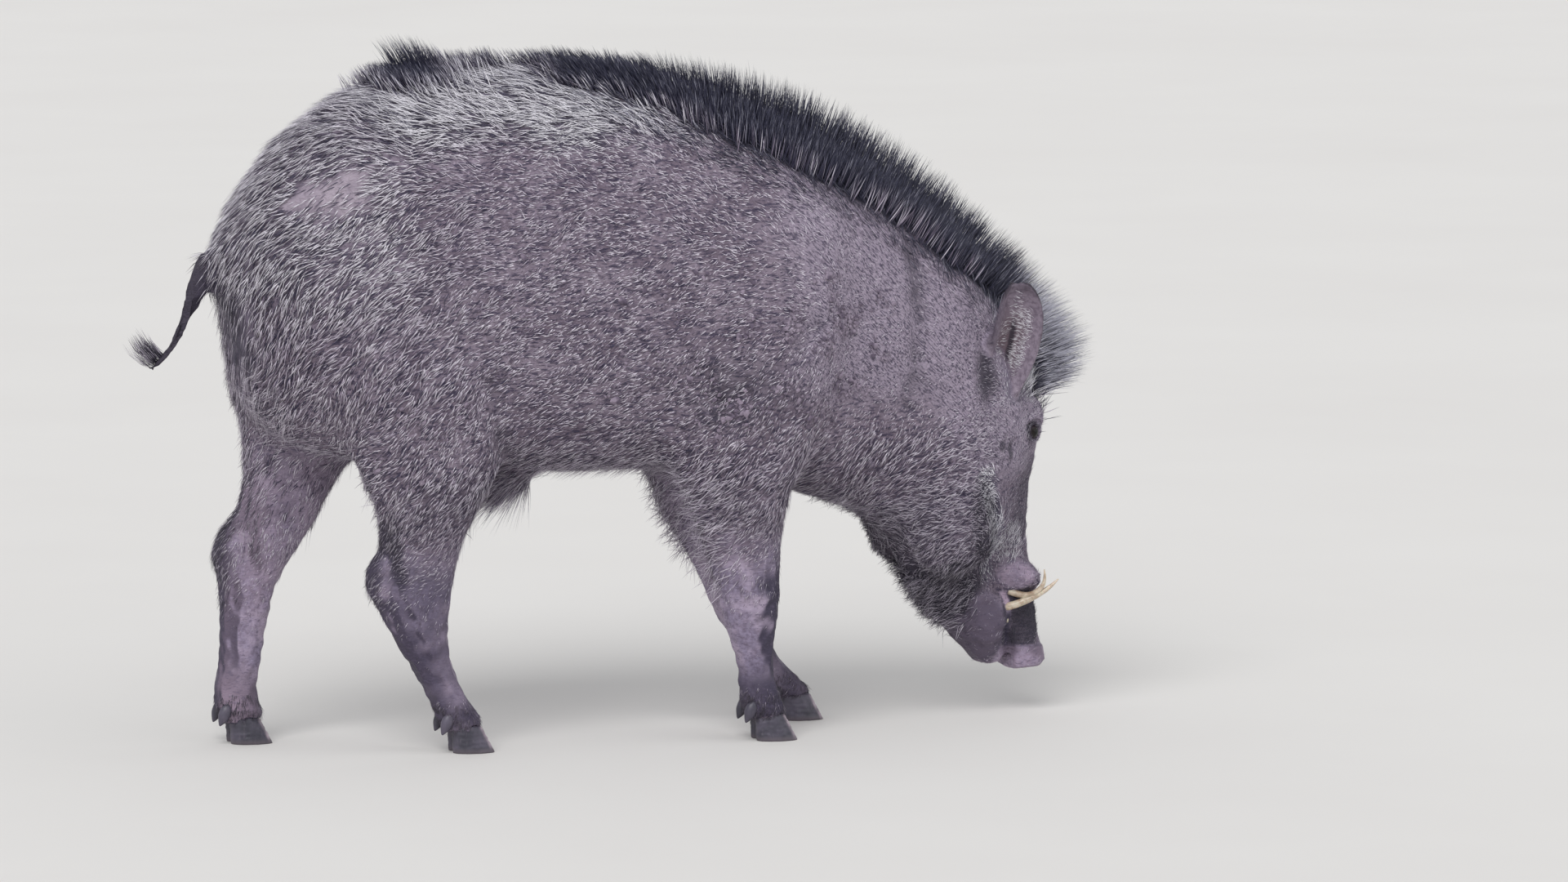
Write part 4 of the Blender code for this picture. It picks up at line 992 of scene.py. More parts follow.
# ---------------------------------------------------------------- coat
class BoarCoat(bpy.types.Operator):
    """Grows the short bristles of the body, the face and the lower legs, and the mud crumbs in them"""
    bl_idname = "boar.coat"
    bl_label = "Coat"

    MOST_STRANDS = 33000            # of six triangles, to keep each piece under 200,000

    def execute(self, context):
        settings = context.scene.boar_coat
        rng = np.random.default_rng(settings.seed)
        hide = Hide()
        finish = hair_material("boar_bristle", settings)
        self.body(hide, settings, rng, finish)
        self.face(hide, settings, rng, finish)
        self.legs(hide, settings, rng, finish)
        self.crumbs(hide, settings, rng)
        return {"FINISHED"}

    def body(self, hide, settings, rng, finish):
        d = hide.centres
        x, _, z = d.T
        marks = hide.centre_marks.T
        above_shank = np.maximum(ease(z, 0.215, 0.320), ease(x, 0.30, 0.33))
        density = above_shank * ease(x, 0.520, 0.450) * (1 - marks[CREST]) * (1 - marks[EAR])
        density *= (1 - 0.92 * marks[BARE]) * (1 - 0.93 * marks[DRIED]) * ease(x, -0.575, -0.560)
        density *= 1 + 0.4 * marks[GRIZZLED]
        density *= 1 - 0.38 * ease(x, 0.02, 0.20) * ease(z, 0.40, 0.50) * ease(z, 0.82, 0.72)
        density *= 1 - 0.25 * ease(x, -0.20, -0.34)
        density *= np.clip(0.92 + 0.20 * drift(d, 0.05, 34) + 0.22 * drift(d, 0.015, 35), 0.25, 1.5)
        roots = hide.roots(settings.body_bristles, density, rng)
        order = np.argsort(roots.drawn[:, 0], kind="stable")
        parts = math.ceil(len(roots) / self.MOST_STRANDS)
        for number, chosen in enumerate(np.array_split(order, parts), 1):
            some = roots.part(chosen)
            x, _, z = some.drawn.T
            back = some.marks[:, GRIZZLED] * ease(z, 0.78, 0.84)
            rump, belly = ease(x, -0.16, -0.36) * ease(z, 0.40, 0.50), ease(z, 0.44, 0.36)
            neck, leg = ease(x, 0.18, 0.32) * ease(z, 0.38, 0.46), ease(z, 0.38, 0.28)
            edge = ease(x, -0.42, -0.52) * ease(z, 0.40, 0.50)
            growth = 1 + 1.70 * back + 0.70 * rump + 0.30 * edge + 0.45 * belly - 0.36 * neck - 0.30 * leg
            length = settings.body_length * growth * rng.uniform(0.6, 1.35, len(some))
            tone = rng.random(len(some)) ** (1 - 0.28 * neck)
            shown = ease(tone, PALE_TONE - 0.1, PALE_TONE)
            way = lie_of_coat(some.drawn, some.normals, rng, stray=0.20)
            rise = rng.uniform(9, 22, len(some)) + 9 * shown + 5 * drift(some.drawn, 0.05, 33) + 6 * belly
            rise += 12 * edge + 8 * back
            sideways = np.cross(some.normals, way) * rng.normal(0, 0.30, (len(some), 1))
            curled = along_skin(way + sideways + np.array((0, 0, -0.40)), some.normals)
            width = rng.uniform(0.00055, 0.00100, len(some)) * (1 - 0.34 * neck - 0.35 * leg - 0.15 * back)
            grow(f"coat_body_{number}", some, lifted(way, some.normals, rise),
                 lifted(curled, some.normals, rise * 0.15), length, width, tone, finish)

    def face(self, hide, settings, rng, finish):
        d = hide.centres
        marks = hide.centre_marks.T
        density = ease(d[:, 0], 0.450, 0.500) * (1 - marks[CREST])
        for side in ("left", "right"):
            density *= ease(np.linalg.norm(d - drawn(eye_frame(side)[0][None]), axis=1), 0.011, 0.018)
        density *= 1 - 0.88 * marks[BARE] * (1 - marks[EAR])
        density *= 1 + 0.8 * near_line(d, MUZZLE_STREAK, 0.020) - 0.45 * marks[EAR]
        density += 0.9 * spot(d, 0.572, 0.132, 0.040, 0.040, edge=0.8) * (1 - near_line(d, GAPE, 0.012))
        density += 1.6 * spot(d, 0.548, 0.290, 0.032, 0.085) + 1.3 * spot(d, 0.535, 0.410, 0.045, 0.060)
        roots = hide.roots(settings.face_bristles, density, rng)
        streak = near_line(roots.drawn, MUZZLE_STREAK, 0.022)
        ear = roots.marks[:, EAR]
        length = 0.0085 + 0.006 * ease(roots.drawn[:, 0], 0.520, 0.470) + 0.0025 * streak - 0.0040 * ear
        length = length * rng.uniform(0.6, 1.35, len(roots))
        way = lie_of_coat(roots.drawn, roots.normals, rng, stray=0.32)
        rise = rng.uniform(8, 26, len(roots)) * (1 - 0.4 * ear)
        width = rng.uniform(0.00030, 0.00055, len(roots)) * (1 + 0.3 * streak)
        tone = rng.random(len(roots)) ** (1 - 0.35 * ease(roots.drawn[:, 2], 0.32, 0.38)) * (1 - 0.45 * ear)
        # hairs on the side of the snout are darker: its dark hair, and painted shade on that side
        tone *= 1 - 0.55 * spot(roots.drawn, 0.572, 0.132, 0.046, 0.050)
        grow("coat_face", roots, lifted(way, roots.normals, rise), lifted(way, roots.normals, rise),
             length, width, tone, finish, rings=())

    def legs(self, hide, settings, rng, finish):
        x, _, z = hide.centres.T
        density = ease(z, 0.400, 0.280) * ease(z, 0.028, 0.045) * ease(x, 0.34, 0.30)
        density *= ease(x, -0.600, -0.575) * (0.25 + 0.75 * ease(z, 0.12, 0.26) + 2.2 * ease(z, 0.082, 0.062))
        roots = hide.roots(settings.leg_bristles, density, rng)
        shank, coronet = ease(roots.drawn[:, 2], 0.10, 0.26), ease(roots.drawn[:, 2], 0.080, 0.065)
        length = (0.0050 + 0.0070 * shank + 0.0060 * coronet) * rng.uniform(0.6, 1.4, len(roots))
        way = lie_of_coat(roots.drawn, roots.normals, rng, stray=0.22)
        rise = rng.uniform(10, 32, len(roots))
        width = rng.uniform(0.00035, 0.00060, len(roots))
        tone = 0.30 + (0.70 - 0.40 * coronet) * rng.random(len(roots))
        grow("coat_legs", roots, lifted(way, roots.normals, rise), lifted(way, roots.normals, rise * 0.1),
             length, width, tone, finish)

    def crumbs(self, hide, settings, rng):
        """Small, rough lumps of dried mud on the shoulder, flanks and haunches."""
        d = hide.centres
        marks = hide.centre_marks.T
        density = (spot(d, 0.235, 0.535, 0.130, 0.130, 0.3)
                   + 0.7 * spot(d, 0.120, 0.440, 0.100, 0.080, 0.3))
        density += (0.5 * spot(d, -0.300, 0.440, 0.120, 0.100, 0.3)
                    + 0.25 * spot(d, -0.020, 0.560, 0.300, 0.160, 0.3))
        density *= (1 - marks[CREST]) * np.clip(0.2 + drift(d, 0.045, 61), 0, 2)
        roots = hide.roots(settings.mud_crumbs, density, rng)
        count = len(roots)
        # each lump starts as a solid of twenty faces: a corner above, two belts of five, and one below
        turns = np.arange(5) * 2 * math.pi / 5
        belt_radius, belt_height = 0.894, 0.447
        belts = [np.column_stack((belt_radius * np.cos(turns + lag), belt_radius * np.sin(turns + lag),
                                  np.full(5, height)))
                 for lag, height in ((0.0, belt_height), (math.pi / 5, -belt_height))]
        corners = np.vstack(((0, 0, 1.0), *belts, (0, 0, -1.0)))
        after = [(i, (i + 1) % 5) for i in range(5)]
        faces = np.array([(0, 1 + i, 1 + j) for i, j in after]
                         + [(1 + j, 1 + i, 6 + i) for i, j in after]
                         + [(6 + i, 6 + j, 1 + j) for i, j in after]
                         + [(6 + j, 6 + i, 11) for i, j in after])
        size = rng.gamma(4.0, 0.00040, count)[:, None]
        shape = corners * (1 + rng.normal(0, 0.26, (count, len(corners), 1))) * np.array((1.3, 1.0, 0.5))
        way = lie_of_coat(roots.drawn, roots.normals, rng, stray=0.8)
        side = np.cross(roots.normals, way)
        points = roots.points + roots.normals * (0.0006 + 0.25 * size)
        along, across, out = (shape[:, :, i:i + 1] for i in range(3))
        offset = along * way[:, None] + across * side[:, None] + out * roots.normals[:, None]
        points = points[:, None] + size[:, None] * offset
        all_faces = (faces[None] + (np.arange(count) * len(corners))[:, None, None]).reshape(-1, 3)
        unwrap = roots.unwrap[:, None] + PATCH * corners[None, :, :2]
        lumps = piece_from_arrays("mud_crumbs", points.reshape(-1, 3), all_faces, unwrap.reshape(-1, 2))
        lumps.data.shade_flat()
        lumps.data.materials.append(crumb_material())
        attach(lumps, "root")


def crumb_material():
    """Dried mud: dull, grainy lumps, pale where they have dried through and darker where still damp."""
    made, tree, shader, place = new_material("dried_mud", roughness=0.95, ior=1.4)
    damp = noise(tree, place, 12)
    mud = layered(tree, linear("5d5363"), (linear("8d8190"), damp, 0.4, 0.6, 1.0))
    tree.links.new(mud, shader.inputs["Base Color"])
    return made


# ---------------------------------------------------------------- mane and tufts
# How the crest leans: at an x of the drawing, the way (x, z) that its hair points.
CREST_WAYS = np.array(((-0.34, -0.62, 0.79), (-0.22, -0.50, 0.86), (-0.08, -0.70, 0.72), (0.02, -0.60, 0.80),
                       (0.12, -0.18, 0.98), (0.22, 0.18, 0.98), (0.34, 0.44, 0.90), (0.46, 0.58, 0.81),
                       (0.55, 0.84, 0.54), (0.60, 0.985, 0.12)))


def room_along(tree, roots, ways, fallback):
    """How far each hair can grow along its way before it leaves a solid of the frame."""
    found = np.full(len(roots), fallback)
    for i, (point, way) in enumerate(zip(roots.points, ways)):
        point, way = Vector(point), Vector(way)
        travelled = 0.0
        for _ in range(3):
            hit, normal, _, distance = tree.ray_cast(point + way * 1e-4, way)
            if hit is None:
                break
            travelled += distance
            if normal.dot(way) > 0:
                found[i] = travelled
                break
            point = hit
    return found


class BoarMane(bpy.types.Operator):
    """Stands the long black hair of the crest and the rump's tuft on the skin, over a shorter skirt"""
    bl_idname = "boar.mane"
    bl_label = "Mane"

    def execute(self, context):
        settings = context.scene.boar_coat
        rng = np.random.default_rng(settings.seed + 1)
        hide = Hide()
        finish = hair_material("boar_mane_hair", settings)
        x, y, _ = hide.centres.T
        crest = hide.centre_marks[:, CREST] * (1 - hide.centre_marks[:, EAR])
        crest *= 1 - spot(hide.centres, 0.520, 0.560, 0.050, 0.080) * ease(np.abs(y), 0.035, 0.055)
        on_neck = crest * ease(x, -0.16, -0.12) * (1 + ease(x, 0.50, 0.54))
        mane = self.stand(hide, "mane_hair", on_neck, settings.mane_hairs, rng, finish, "mane")
        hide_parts("mane")
        on_rump = crest * ease(x, -0.14, -0.18)
        rump_hairs, skirt_hairs = settings.mane_hairs // 7, settings.mane_hairs // 3
        tuft = self.stand(hide, "rump_tuft_hair", on_rump, rump_hairs, rng, finish, "rump_tuft")
        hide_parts("rump_tuft")
        self.skirt(hide, skirt_hairs, rng, finish)
        return {"FINISHED"}

    def stand(self, hide, name, density, count, rng, finish, node):
        """Upright hair that reaches as far as the surface of a CAD node."""
        roots = hide.roots(count, density, rng)
        x = roots.drawn[:, 0]
        lean = np.column_stack((np.interp(x, CREST_WAYS[:, 0], CREST_WAYS[:, 1]), np.zeros(count),
                                np.interp(x, CREST_WAYS[:, 0], CREST_WAYS[:, 2])))
        lean[:, [0, 2]] += 0.10 * np.column_stack([drift(roots.drawn, 0.05, seed) for seed in (41, 42)])
        lean += rng.normal(0, 0.09, (count, 3))
        upright = turned(unit(lean), x)
        start = unit(upright + roots.normals * 0.40)
        reach = room_along(surface_of(node), roots, upright, fallback=0.034)
        grown = np.interp(x, (-0.10, 0.10, 0.25, 0.60), (1.0, 1.06, 1.22, 1.28))     # longest on the crown
        reach = np.clip(reach, 0.024, 0.125) * rng.uniform(0.78, 1.06, count) * grown
        end = unit(upright + rng.normal(0, 0.07, (count, 3)))
        width = rng.uniform(0.0006, 0.0010, count) * (1 - 0.30 * ease(x, 0.48, 0.54))
        return grow(name, roots, start, end, reach, width, rng.random(count), finish,
                    rings=(0.20, 0.62))

    def skirt(self, hide, count, rng, finish):
        """Shorter hair, black among muddy and pale, that softens the lower edge of the crest."""
        above = above_crest_foot(hide.centres)
        x, _, z = hide.centres.T
        density = ease(above, -0.055, -0.010) * ease(above, 0.030, 0.010) * ease(x, -0.20, -0.10)
        density += 1.2 * spot(hide.centres, 0.580, 0.490, 0.060, 0.070)
        density += ease(z, 0.880, 0.905) * ease(x, -0.42, -0.38) * ease(x, -0.08, -0.14)
        density *= 1 - hide.centre_marks[:, EAR]
        roots = hide.roots(count, density, rng)
        x = roots.drawn[:, 0]
        black = 0.62 + 0.38 * ease(above_crest_foot(roots.drawn), -0.050, -0.020)
        black *= (1 - 0.70 * ease(x, 0.520, 0.550)) * (1 - 0.45 * ease(x, 0.0, -0.1))
        roots.marks[:, CREST] = rng.random(count) < black
        way = lie_of_coat(roots.drawn, roots.normals, rng, stray=0.22)
        rise = rng.uniform(12, 34, count)
        lengths = rng.uniform(0.022, 0.042, count)
        grow("mane_skirt", roots, lifted(way, roots.normals, rise), lifted(way, roots.normals, rise * 0.5),
             lengths, rng.uniform(0.0005, 0.0008, count), rng.random(count), finish)


# ---------------------------------------------------------------- long hair on the face, belly, legs and tail
class BoarLongHair(bpy.types.Operator):
    """Grows whiskers, beard and brow hair, the fringes of body and legs, ear hair and the tail's tassel"""
    bl_idname = "boar.long_hair"
    bl_label = "Long hair"

    def execute(self, context):
        settings = context.scene.boar_coat
        rng = np.random.default_rng(settings.seed + 2)
        hide = Hide()
        finish = hair_material("boar_whisker", settings)
        d = hide.centres
        x, y, z = d.T
        out = np.abs(y)
        side = ease(out, 0.02, 0.05)
        down = ease(-hide.facing[:, 2], 0.1, 0.5)
        rear = ease(-hide.facing[:, 0], 0.1, 0.6)
        belly = (ease(z, 0.400, 0.360) * ease(z, 0.26, 0.30) * down * ease(out, 0.12, 0.06)
                 * ease(x, 0.16, 0.06) * ease(x, -0.42, -0.34))
        hocks = spot(d, -0.380, 0.200, 0.030, 0.060) + spot(d, -0.545, 0.220, 0.030, 0.060)
        # name, where it grows, how many, length, how far it stands up, droop, thickness and least tone
        places = (
            ("whiskers", spot(d, 0.425, 0.260, 0.105, 0.100) * side, 4200, 0.018, 22, 0.15, 0.00052, 0.12),
            ("beard", spot(d, 0.450, 0.165, 0.062, 0.060), 2200, 0.026, 34, 0.25, 0.00050, 0.05),
            ("muzzle_hair", spot(d, 0.548, 0.236, 0.036, 0.034) * side, 900, 0.014, 30, 0.0, 0.00040, 0.45),
            ("belly_fringe", belly, 1700, 0.030, 26, 0.35, 0.00050, 0.25),
            ("sheath_tuft", spot(d, -0.165, 0.335, 0.060, 0.050) * ease(out, 0.05, 0.02), 800, 0.055, 28, 0.7,
             0.00060, 0.0),
            ("elbow_fringe", spot(d, 0.085, 0.290, 0.075, 0.110) * rear, 1100, 0.034, 28, 0.3, 0.00045,
             0.35),
            ("haunch_fringe", spot(d, -0.490, 0.430, 0.080, 0.120) * rear, 800, 0.024, 24, 0.2, 0.00045,
             0.25),
            ("hock_tufts", hocks * rear, 200, 0.016, 20, 0.2, 0.00040, 0.0),
            ("forehead_hair", spot(d, 0.566, 0.490, 0.045, 0.062), 1400, 0.024, 34, 0.0, 0.00048, 0.42),
            ("throat_hair", spot(d, 0.350, 0.300, 0.080, 0.070) * ease(out, 0.09, 0.03), 800, 0.026, 22, 0.4,
             0.00050, 0.10),
        )
        for name, density, count, length, rise, droop, width, least in places:
            roots = hide.roots(count, density * (1 - hide.centre_marks[:, EAR]), rng)
            roots.marks[:, CREST] = 0.0
            lengths = length * rng.uniform(0.55, 1.30, count)
            way = lie_of_coat(roots.drawn, roots.normals, rng, stray=0.36)
            start = lifted(way, roots.normals, rng.uniform(0.6, 1.3, count) * rise)
            end = unit(start + way * 0.4 - np.array([0, 0, droop]))
            tone = least + (1 - least) * rng.random(count)
            grow(name, roots, start, end, lengths, np.full(count, width), tone, finish,
                 rings=(0.25, 0.65))
        self.ear_hair(hide, rng, finish)
        self.tail_tassel(hide, rng)
        return {"FINISHED"}

    def ear_hair(self, hide, rng, finish):
        """White hair that lies across the hollow of each ear, from both rims towards its middle."""
        across, up = on_ear(hide.centres)
        outer = ease(hide.facing[:, 1] * np.sign(hide.centres[:, 1]), 0.1, 0.5) * hide.centre_marks[:, EAR]
        front = ease(np.abs(across - 0.52), 0.24, 0.10) * ease(up, 0.12, 0.25) * ease(up, 0.80, 0.60)
        rear = 0.9 * ease(np.abs(across + 0.46), 0.22, 0.10) * ease(up, 0.22, 0.34) * ease(up, 0.66, 0.56)
        tufts = 0.25 * ease(np.abs(across), 0.6, 0.3) * ease(up, 0.55, 0.65) * ease(up, 0.92, 0.80)
        roots = hide.roots(2400, (front + rear + tufts) * outer, rng)
        count = len(roots)
        roots.marks[:, GRIZZLED], roots.marks[:, DARK], roots.marks[:, CREST] = 0.7, 0.0, 0.0
        across, _ = on_ear(roots.drawn)
        inward = np.where(across > 0.1, -1.0, 0.8) + rng.normal(0, 0.22, count)
        way = turned(unit(np.column_stack((inward, np.zeros(count), rng.normal(0.15, 0.30, count)))),
                     roots.drawn[:, 0])
        way = along_skin(way, roots.normals)
        rise = rng.uniform(12, 34, count)
        grow("ear_hair", roots, lifted(way, roots.normals, rise), lifted(way, roots.normals, rise * 0.4),
             rng.uniform(0.006, 0.014, count), rng.uniform(0.00025, 0.00045, count),
             0.45 + 0.55 * rng.random(count), finish)

    def tail_tassel(self, hide, rng):
        """The stiff tassel at the tail's end, swept back and up in two locks."""
        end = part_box("tail")[0]
        last = drawn(np.array([[end.x + 0.012, 0, end.z + 0.012]]))[0]
        gaps = np.hypot(hide.centres[:, 0] - last[0], hide.centres[:, 2] - last[2])
        roots = hide.roots(260, ease(gaps, 0.017, 0.007), rng)
        count = len(roots)
        lock = rng.random(count) < 0.55
        sideways = np.where(lock, 0.25, -0.15)
        way = unit(np.column_stack((np.full(count, -0.80), sideways, np.where(lock, 0.30, 0.55)))
                   + rng.normal(0, 0.035, (count, 3)))
        up = unit(np.column_stack((np.full(count, -0.45), sideways * 0.4, np.full(count, 0.90)))
                  + rng.normal(0, 0.045, (count, 3)))
        grow("tail_tassel", roots, way, up, rng.uniform(0.026, 0.058, count), np.full(count, 0.0004),
             rng.random(count), bpy.data.materials["boar_mane_hair"], rings=(0.25, 0.65))


# ---------------------------------------------------------------- eyes
class BoarEyes(bpy.types.Operator):
    """Models each eyeball with its cornea, at the eye of the frame"""
    bl_idname = "boar.eyes"
    bl_label = "Eyes"

    def execute(self, context):
        for side in ("left", "right"):
            centre, radius, out, _, _ = eye_frame(side)
            eye = add_shape(f"eyeball_{side}", bpy.ops.mesh.primitive_uv_sphere_add, radius=radius,
                            segments=48, ring_count=24, location=centre)
            bpy.ops.object.transform_apply(location=True, rotation=True, scale=True)
            points = vertices_of(eye.data)
            ahead = unit(points - centre) @ out
            points += 0.0010 * ease(ahead, 0.86, 0.99)[:, None] * out
            put_vertices(eye.data, points)
            bpy.ops.object.shade_smooth()
            eye.data.materials.append(eye_material(side, centre, radius, out))
            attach(eye, "root")
            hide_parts(f"eye_{side}")
        return {"FINISHED"}


def eye_material(side, centre, radius, out):
    """A living eye: a nearly black brown iris round a black pupil under a wet, very smooth cornea, which
    catches one sharp highlight, and a dark brownish white round it."""
    made, tree, shader, place = new_material(f"boar_eye_{side}", roughness=0.05, ior=1.38)
    middle = [float(value) for value in centre + out * radius]
    gap = add_node(tree, "ShaderNodeVectorMath", {0: place, 1: middle}, operation="DISTANCE").outputs["Value"]
    streaks = noise(tree, place, 1.2)
    iris = colour_mix(tree, streaks, linear("0c0706"), linear("1b110c"))
    ball = colour_mix(tree, between(tree, gap, 0.0062, 0.0078), iris, linear("2c2228"))
    ball = colour_mix(tree, between(tree, gap, 0.0032, 0.0038), linear("020202"), ball)
    tree.links.new(ball, shader.inputs["Base Color"])
    return made


# ---------------------------------------------------------------- tusks, teeth and tongue
def placed(x, y, z):
    """A place of the drawing past the neck's turn, in the frame."""
    end_x = TURN_START + TURN_RADIUS * math.sin(TURN)
    end_y = TURN_RADIUS * (1 - math.cos(TURN))
    ahead = x - TURN_END
    return (end_x + ahead * math.cos(TURN) - y * math.sin(TURN) + DRAWN_ORIGIN[0],
            end_y + ahead * math.sin(TURN) + y * math.cos(TURN) + DRAWN_ORIGIN[1], z)


# x, y out from the middle, z and radius, from the root in the gum to the tip
LOWER_TUSK = ((0.532, 0.022, 0.144, 0.0050), (0.545, 0.036, 0.148, 0.0056), (0.566, 0.050, 0.156, 0.0052),
              (0.588, 0.062, 0.168, 0.0040), (0.602, 0.069, 0.179, 0.0026), (0.610, 0.073, 0.188, 0.0008))
UPPER_TUSK = ((0.555, 0.034, 0.170, 0.0046), (0.568, 0.048, 0.164, 0.0048), (0.579, 0.058, 0.167, 0.0042),
              (0.588, 0.066, 0.177, 0.0033), (0.591, 0.070, 0.190, 0.0022), (0.589, 0.070, 0.202, 0.0008))


def tapered_tube(name, line, sides):
    """A round, tapering mesh along a smooth curve through places with a radius each."""
    curve = add_shape(name, bpy.ops.curve.primitive_nurbs_path_add, location=(0, 0, 0))
    spline = curve.data.splines[0]
    spline.points.add(len(line) - len(spline.points))
    spline.points.foreach_set("co", [value for *place, _ in line for value in (*place, 1.0)])
    spline.points.foreach_set("radius", [radius for *_, radius in line])
    spline.use_endpoint_u = True
    spline.order_u = 3
    spline.resolution_u = 8
    curve.data.bevel_depth = 1.0
    curve.data.bevel_resolution = sides
    curve.data.use_fill_caps = True
    bpy.ops.object.convert(target="MESH")
    bpy.ops.object.shade_smooth()
    return bpy.context.object


class BoarTusks(bpy.types.Operator):
    """Models the tusks and the teeth and tongue that show in the open corner of the mouth"""
    bl_idname = "boar.tusks"
    bl_label = "Tusks"

    def execute(self, context):
        ivory = ivory_material()
        for side, way in (("right", -1), ("left", 1)):
            for row, line in (("lower", LOWER_TUSK), ("upper", UPPER_TUSK)):
                tusk = tapered_tube(f"{row}_tusk_ivory_{side}",
                                    [(*placed(x, way * y, z), radius) for x, y, z, radius in line], sides=6)
                tusk.data.materials.append(ivory)
                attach(tusk, "root")
                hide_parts(f"{row}_tusk_{side}")
            self.teeth(side, way, ivory)
        self.tongue()
        return {"FINISHED"}

    def teeth(self, side, way, ivory):
        """Three low cheek teeth in the gum behind the tusk."""
        pieces = []
        for x, z in ((0.5405, 0.1500), (0.5445, 0.1400), (0.5480, 0.1305)):
            tooth = add_shape("tooth", bpy.ops.mesh.primitive_cube_add, size=0.0075,
                              location=placed(x + 0.004, way * 0.029, z))
            in_edit_mode(tooth, lambda: bpy.ops.mesh.subdivide(number_cuts=2),
                         lambda: bpy.ops.transform.tosphere(value=0.45))
            bpy.ops.object.transform_apply(location=True, rotation=True, scale=True)
            pieces.append(tooth)
        for tooth in pieces:
            tooth.select_set(True)
        bpy.ops.object.join()
        teeth = bpy.context.object
        teeth.name = f"teeth_{side}"
        bpy.ops.object.shade_smooth()
        teeth.data.materials.append(ivory)
        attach(teeth, "root")

    def tongue(self):
        """A flat, rounded tongue, which shows in the open corner of the mouth."""
        tongue = add_shape("tongue", bpy.ops.mesh.primitive_uv_sphere_add, segments=32, ring_count=16,
                           radius=1.0)
        bpy.ops.transform.resize(value=(0.0065, 0.024, 0.040))
        bpy.ops.transform.rotate(value=math.radians(-12), orient_axis="Y", center_override=(0, 0, 0))
        bpy.ops.transform.rotate(value=-TURN, orient_axis="Z", center_override=(0, 0, 0))
        bpy.ops.transform.translate(value=placed(0.555, 0, 0.120))
        bpy.ops.object.transform_apply(location=True, rotation=True, scale=True)
        bpy.ops.object.shade_smooth()
        tongue.data.materials.append(gum_material())
        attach(tongue, "root")


def ivory_material():
    """Boar ivory: enamel-like dentine, worn smooth by rubbing. It is creamy, browner and stained towards the
    gum, with fine lines along its length and a soft shine."""
    made, tree, shader, place = new_material("boar_ivory", roughness=0.32, ior=1.54, Subsurface_Weight=0.15,
                                             Subsurface_Scale=0.004)
    stain = noise(tree, place, 14)
    lines = noise(tree, place, 1.6, (0.2, 0.2, 1))
    ivory = layered(tree, linear("d3c6b2"), (linear("9c8670"), stain, 0.35, 0.70, 1.0),
                    (linear("7d6858"), lines, 0.55, 0.75, 0.5))
    tree.links.new(ivory, shader.inputs["Base Color"])
    give_relief(tree, shader, lines, 0.25, 0.0004)
    return made


def gum_material():
    """Wet gum and tongue: smooth pink flesh with a mauve cast, which shines where it is moist."""
    made, tree, shader, place = new_material("wet_gum", roughness=0.25, ior=1.4, Subsurface_Weight=0.2,
                                             Subsurface_Scale=0.006)
    patches = noise(tree, place, 9)
    tree.links.new(colour_mix(tree, patches, linear("9c6a84"), linear("6d4459")), shader.inputs["Base Color"])
    return made


# ---------------------------------------------------------------- hooves
RING_HEIGHT = 0.0060            # of each ring of growth on a hoof


class BoarHooves(bpy.types.Operator):
    """Rebuilds the hooves and dewclaws of each foot as smooth horn with growth rings"""
    bl_idname = "boar.hooves"
    bl_label = "Hooves"

    def execute(self, context):
        horn = horn_material()
        for leg in LEGS:
            toes = [f"{leg}_hoof_{place}" for place in ("inner", "outer")]
            claws = [f"{leg}_dewclaw_{place}" for place in ("inner", "outer")]
            hooves = copy_of_nodes(f"hooves_{leg}", toes, swell=0.0)
            hooves.data.remesh_voxel_size = 0.0016
            bpy.ops.object.voxel_remesh()
            apply(hooves, "SMOOTH", factor=0.5, iterations=22)
            points, normals = vertices_of(hooves.data), vertex_normals(hooves.data)
            rings = np.sin(points[:, 2] * 2 * math.pi / RING_HEIGHT + 1.6 * drift(points, 0.03, 51))
            wall = ease(points[:, 2], 0.004, 0.009) * ease(np.abs(normals[:, 2]), 0.8, 0.5)
            lift = 0.0007 + 0.00016 * rings * wall + 0.00030 * drift(points, 0.008, 52) * wall
            points += normals * lift[:, None]
            points[:, 2] = np.maximum(points[:, 2], 0.0)
            put_vertices(hooves.data, points)
            worn = ease(normals[:, 0], 0.35, 0.85) * ease(points[:, 2], 0.050, 0.030)
            worn = worn * (0.75 + 0.4 * drift(points, 0.02, 53))
            point_colours(hooves.data, "worn", np.column_stack([worn] * 3))
            for claw in [self.dewclaw(name) for name in claws]:
                claw.select_set(True)
            hooves.select_set(True)
            bpy.context.view_layer.objects.active = hooves
            bpy.ops.object.join()
            bpy.ops.object.shade_smooth()
            hooves.data.materials.append(horn)
            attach(hooves, "root")
            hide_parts(*toes, *claws)
        return {"FINISHED"}

    def dewclaw(self, node):
        """A small hanging claw: a drop of horn whose tip points down and back."""
        low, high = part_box(node)
        claw = add_shape(f"horn_{node}", bpy.ops.mesh.primitive_uv_sphere_add, segments=20, ring_count=14,
                         radius=1.0)
        point_colours(claw.data, "worn", np.zeros((len(claw.data.vertices), 3)))
        x, y, z = vertices_of(claw.data).T
        waist = np.interp(z, (-1.0, -0.3, 0.5, 1.0), (0.45, 0.85, 1.0, 0.9))
        x, y, z = x * waist * 0.0090, y * waist * 0.0072, z * 0.0165
        tilt = math.radians(24)
        middle = np.array((low + high) / 2) + np.array((0.005, 0.0, 0.009))
        put_vertices(claw.data, np.column_stack((x * math.cos(tilt) + z * math.sin(tilt), y,
                                                 z * math.cos(tilt) - x * math.sin(tilt))) + middle)
        return claw


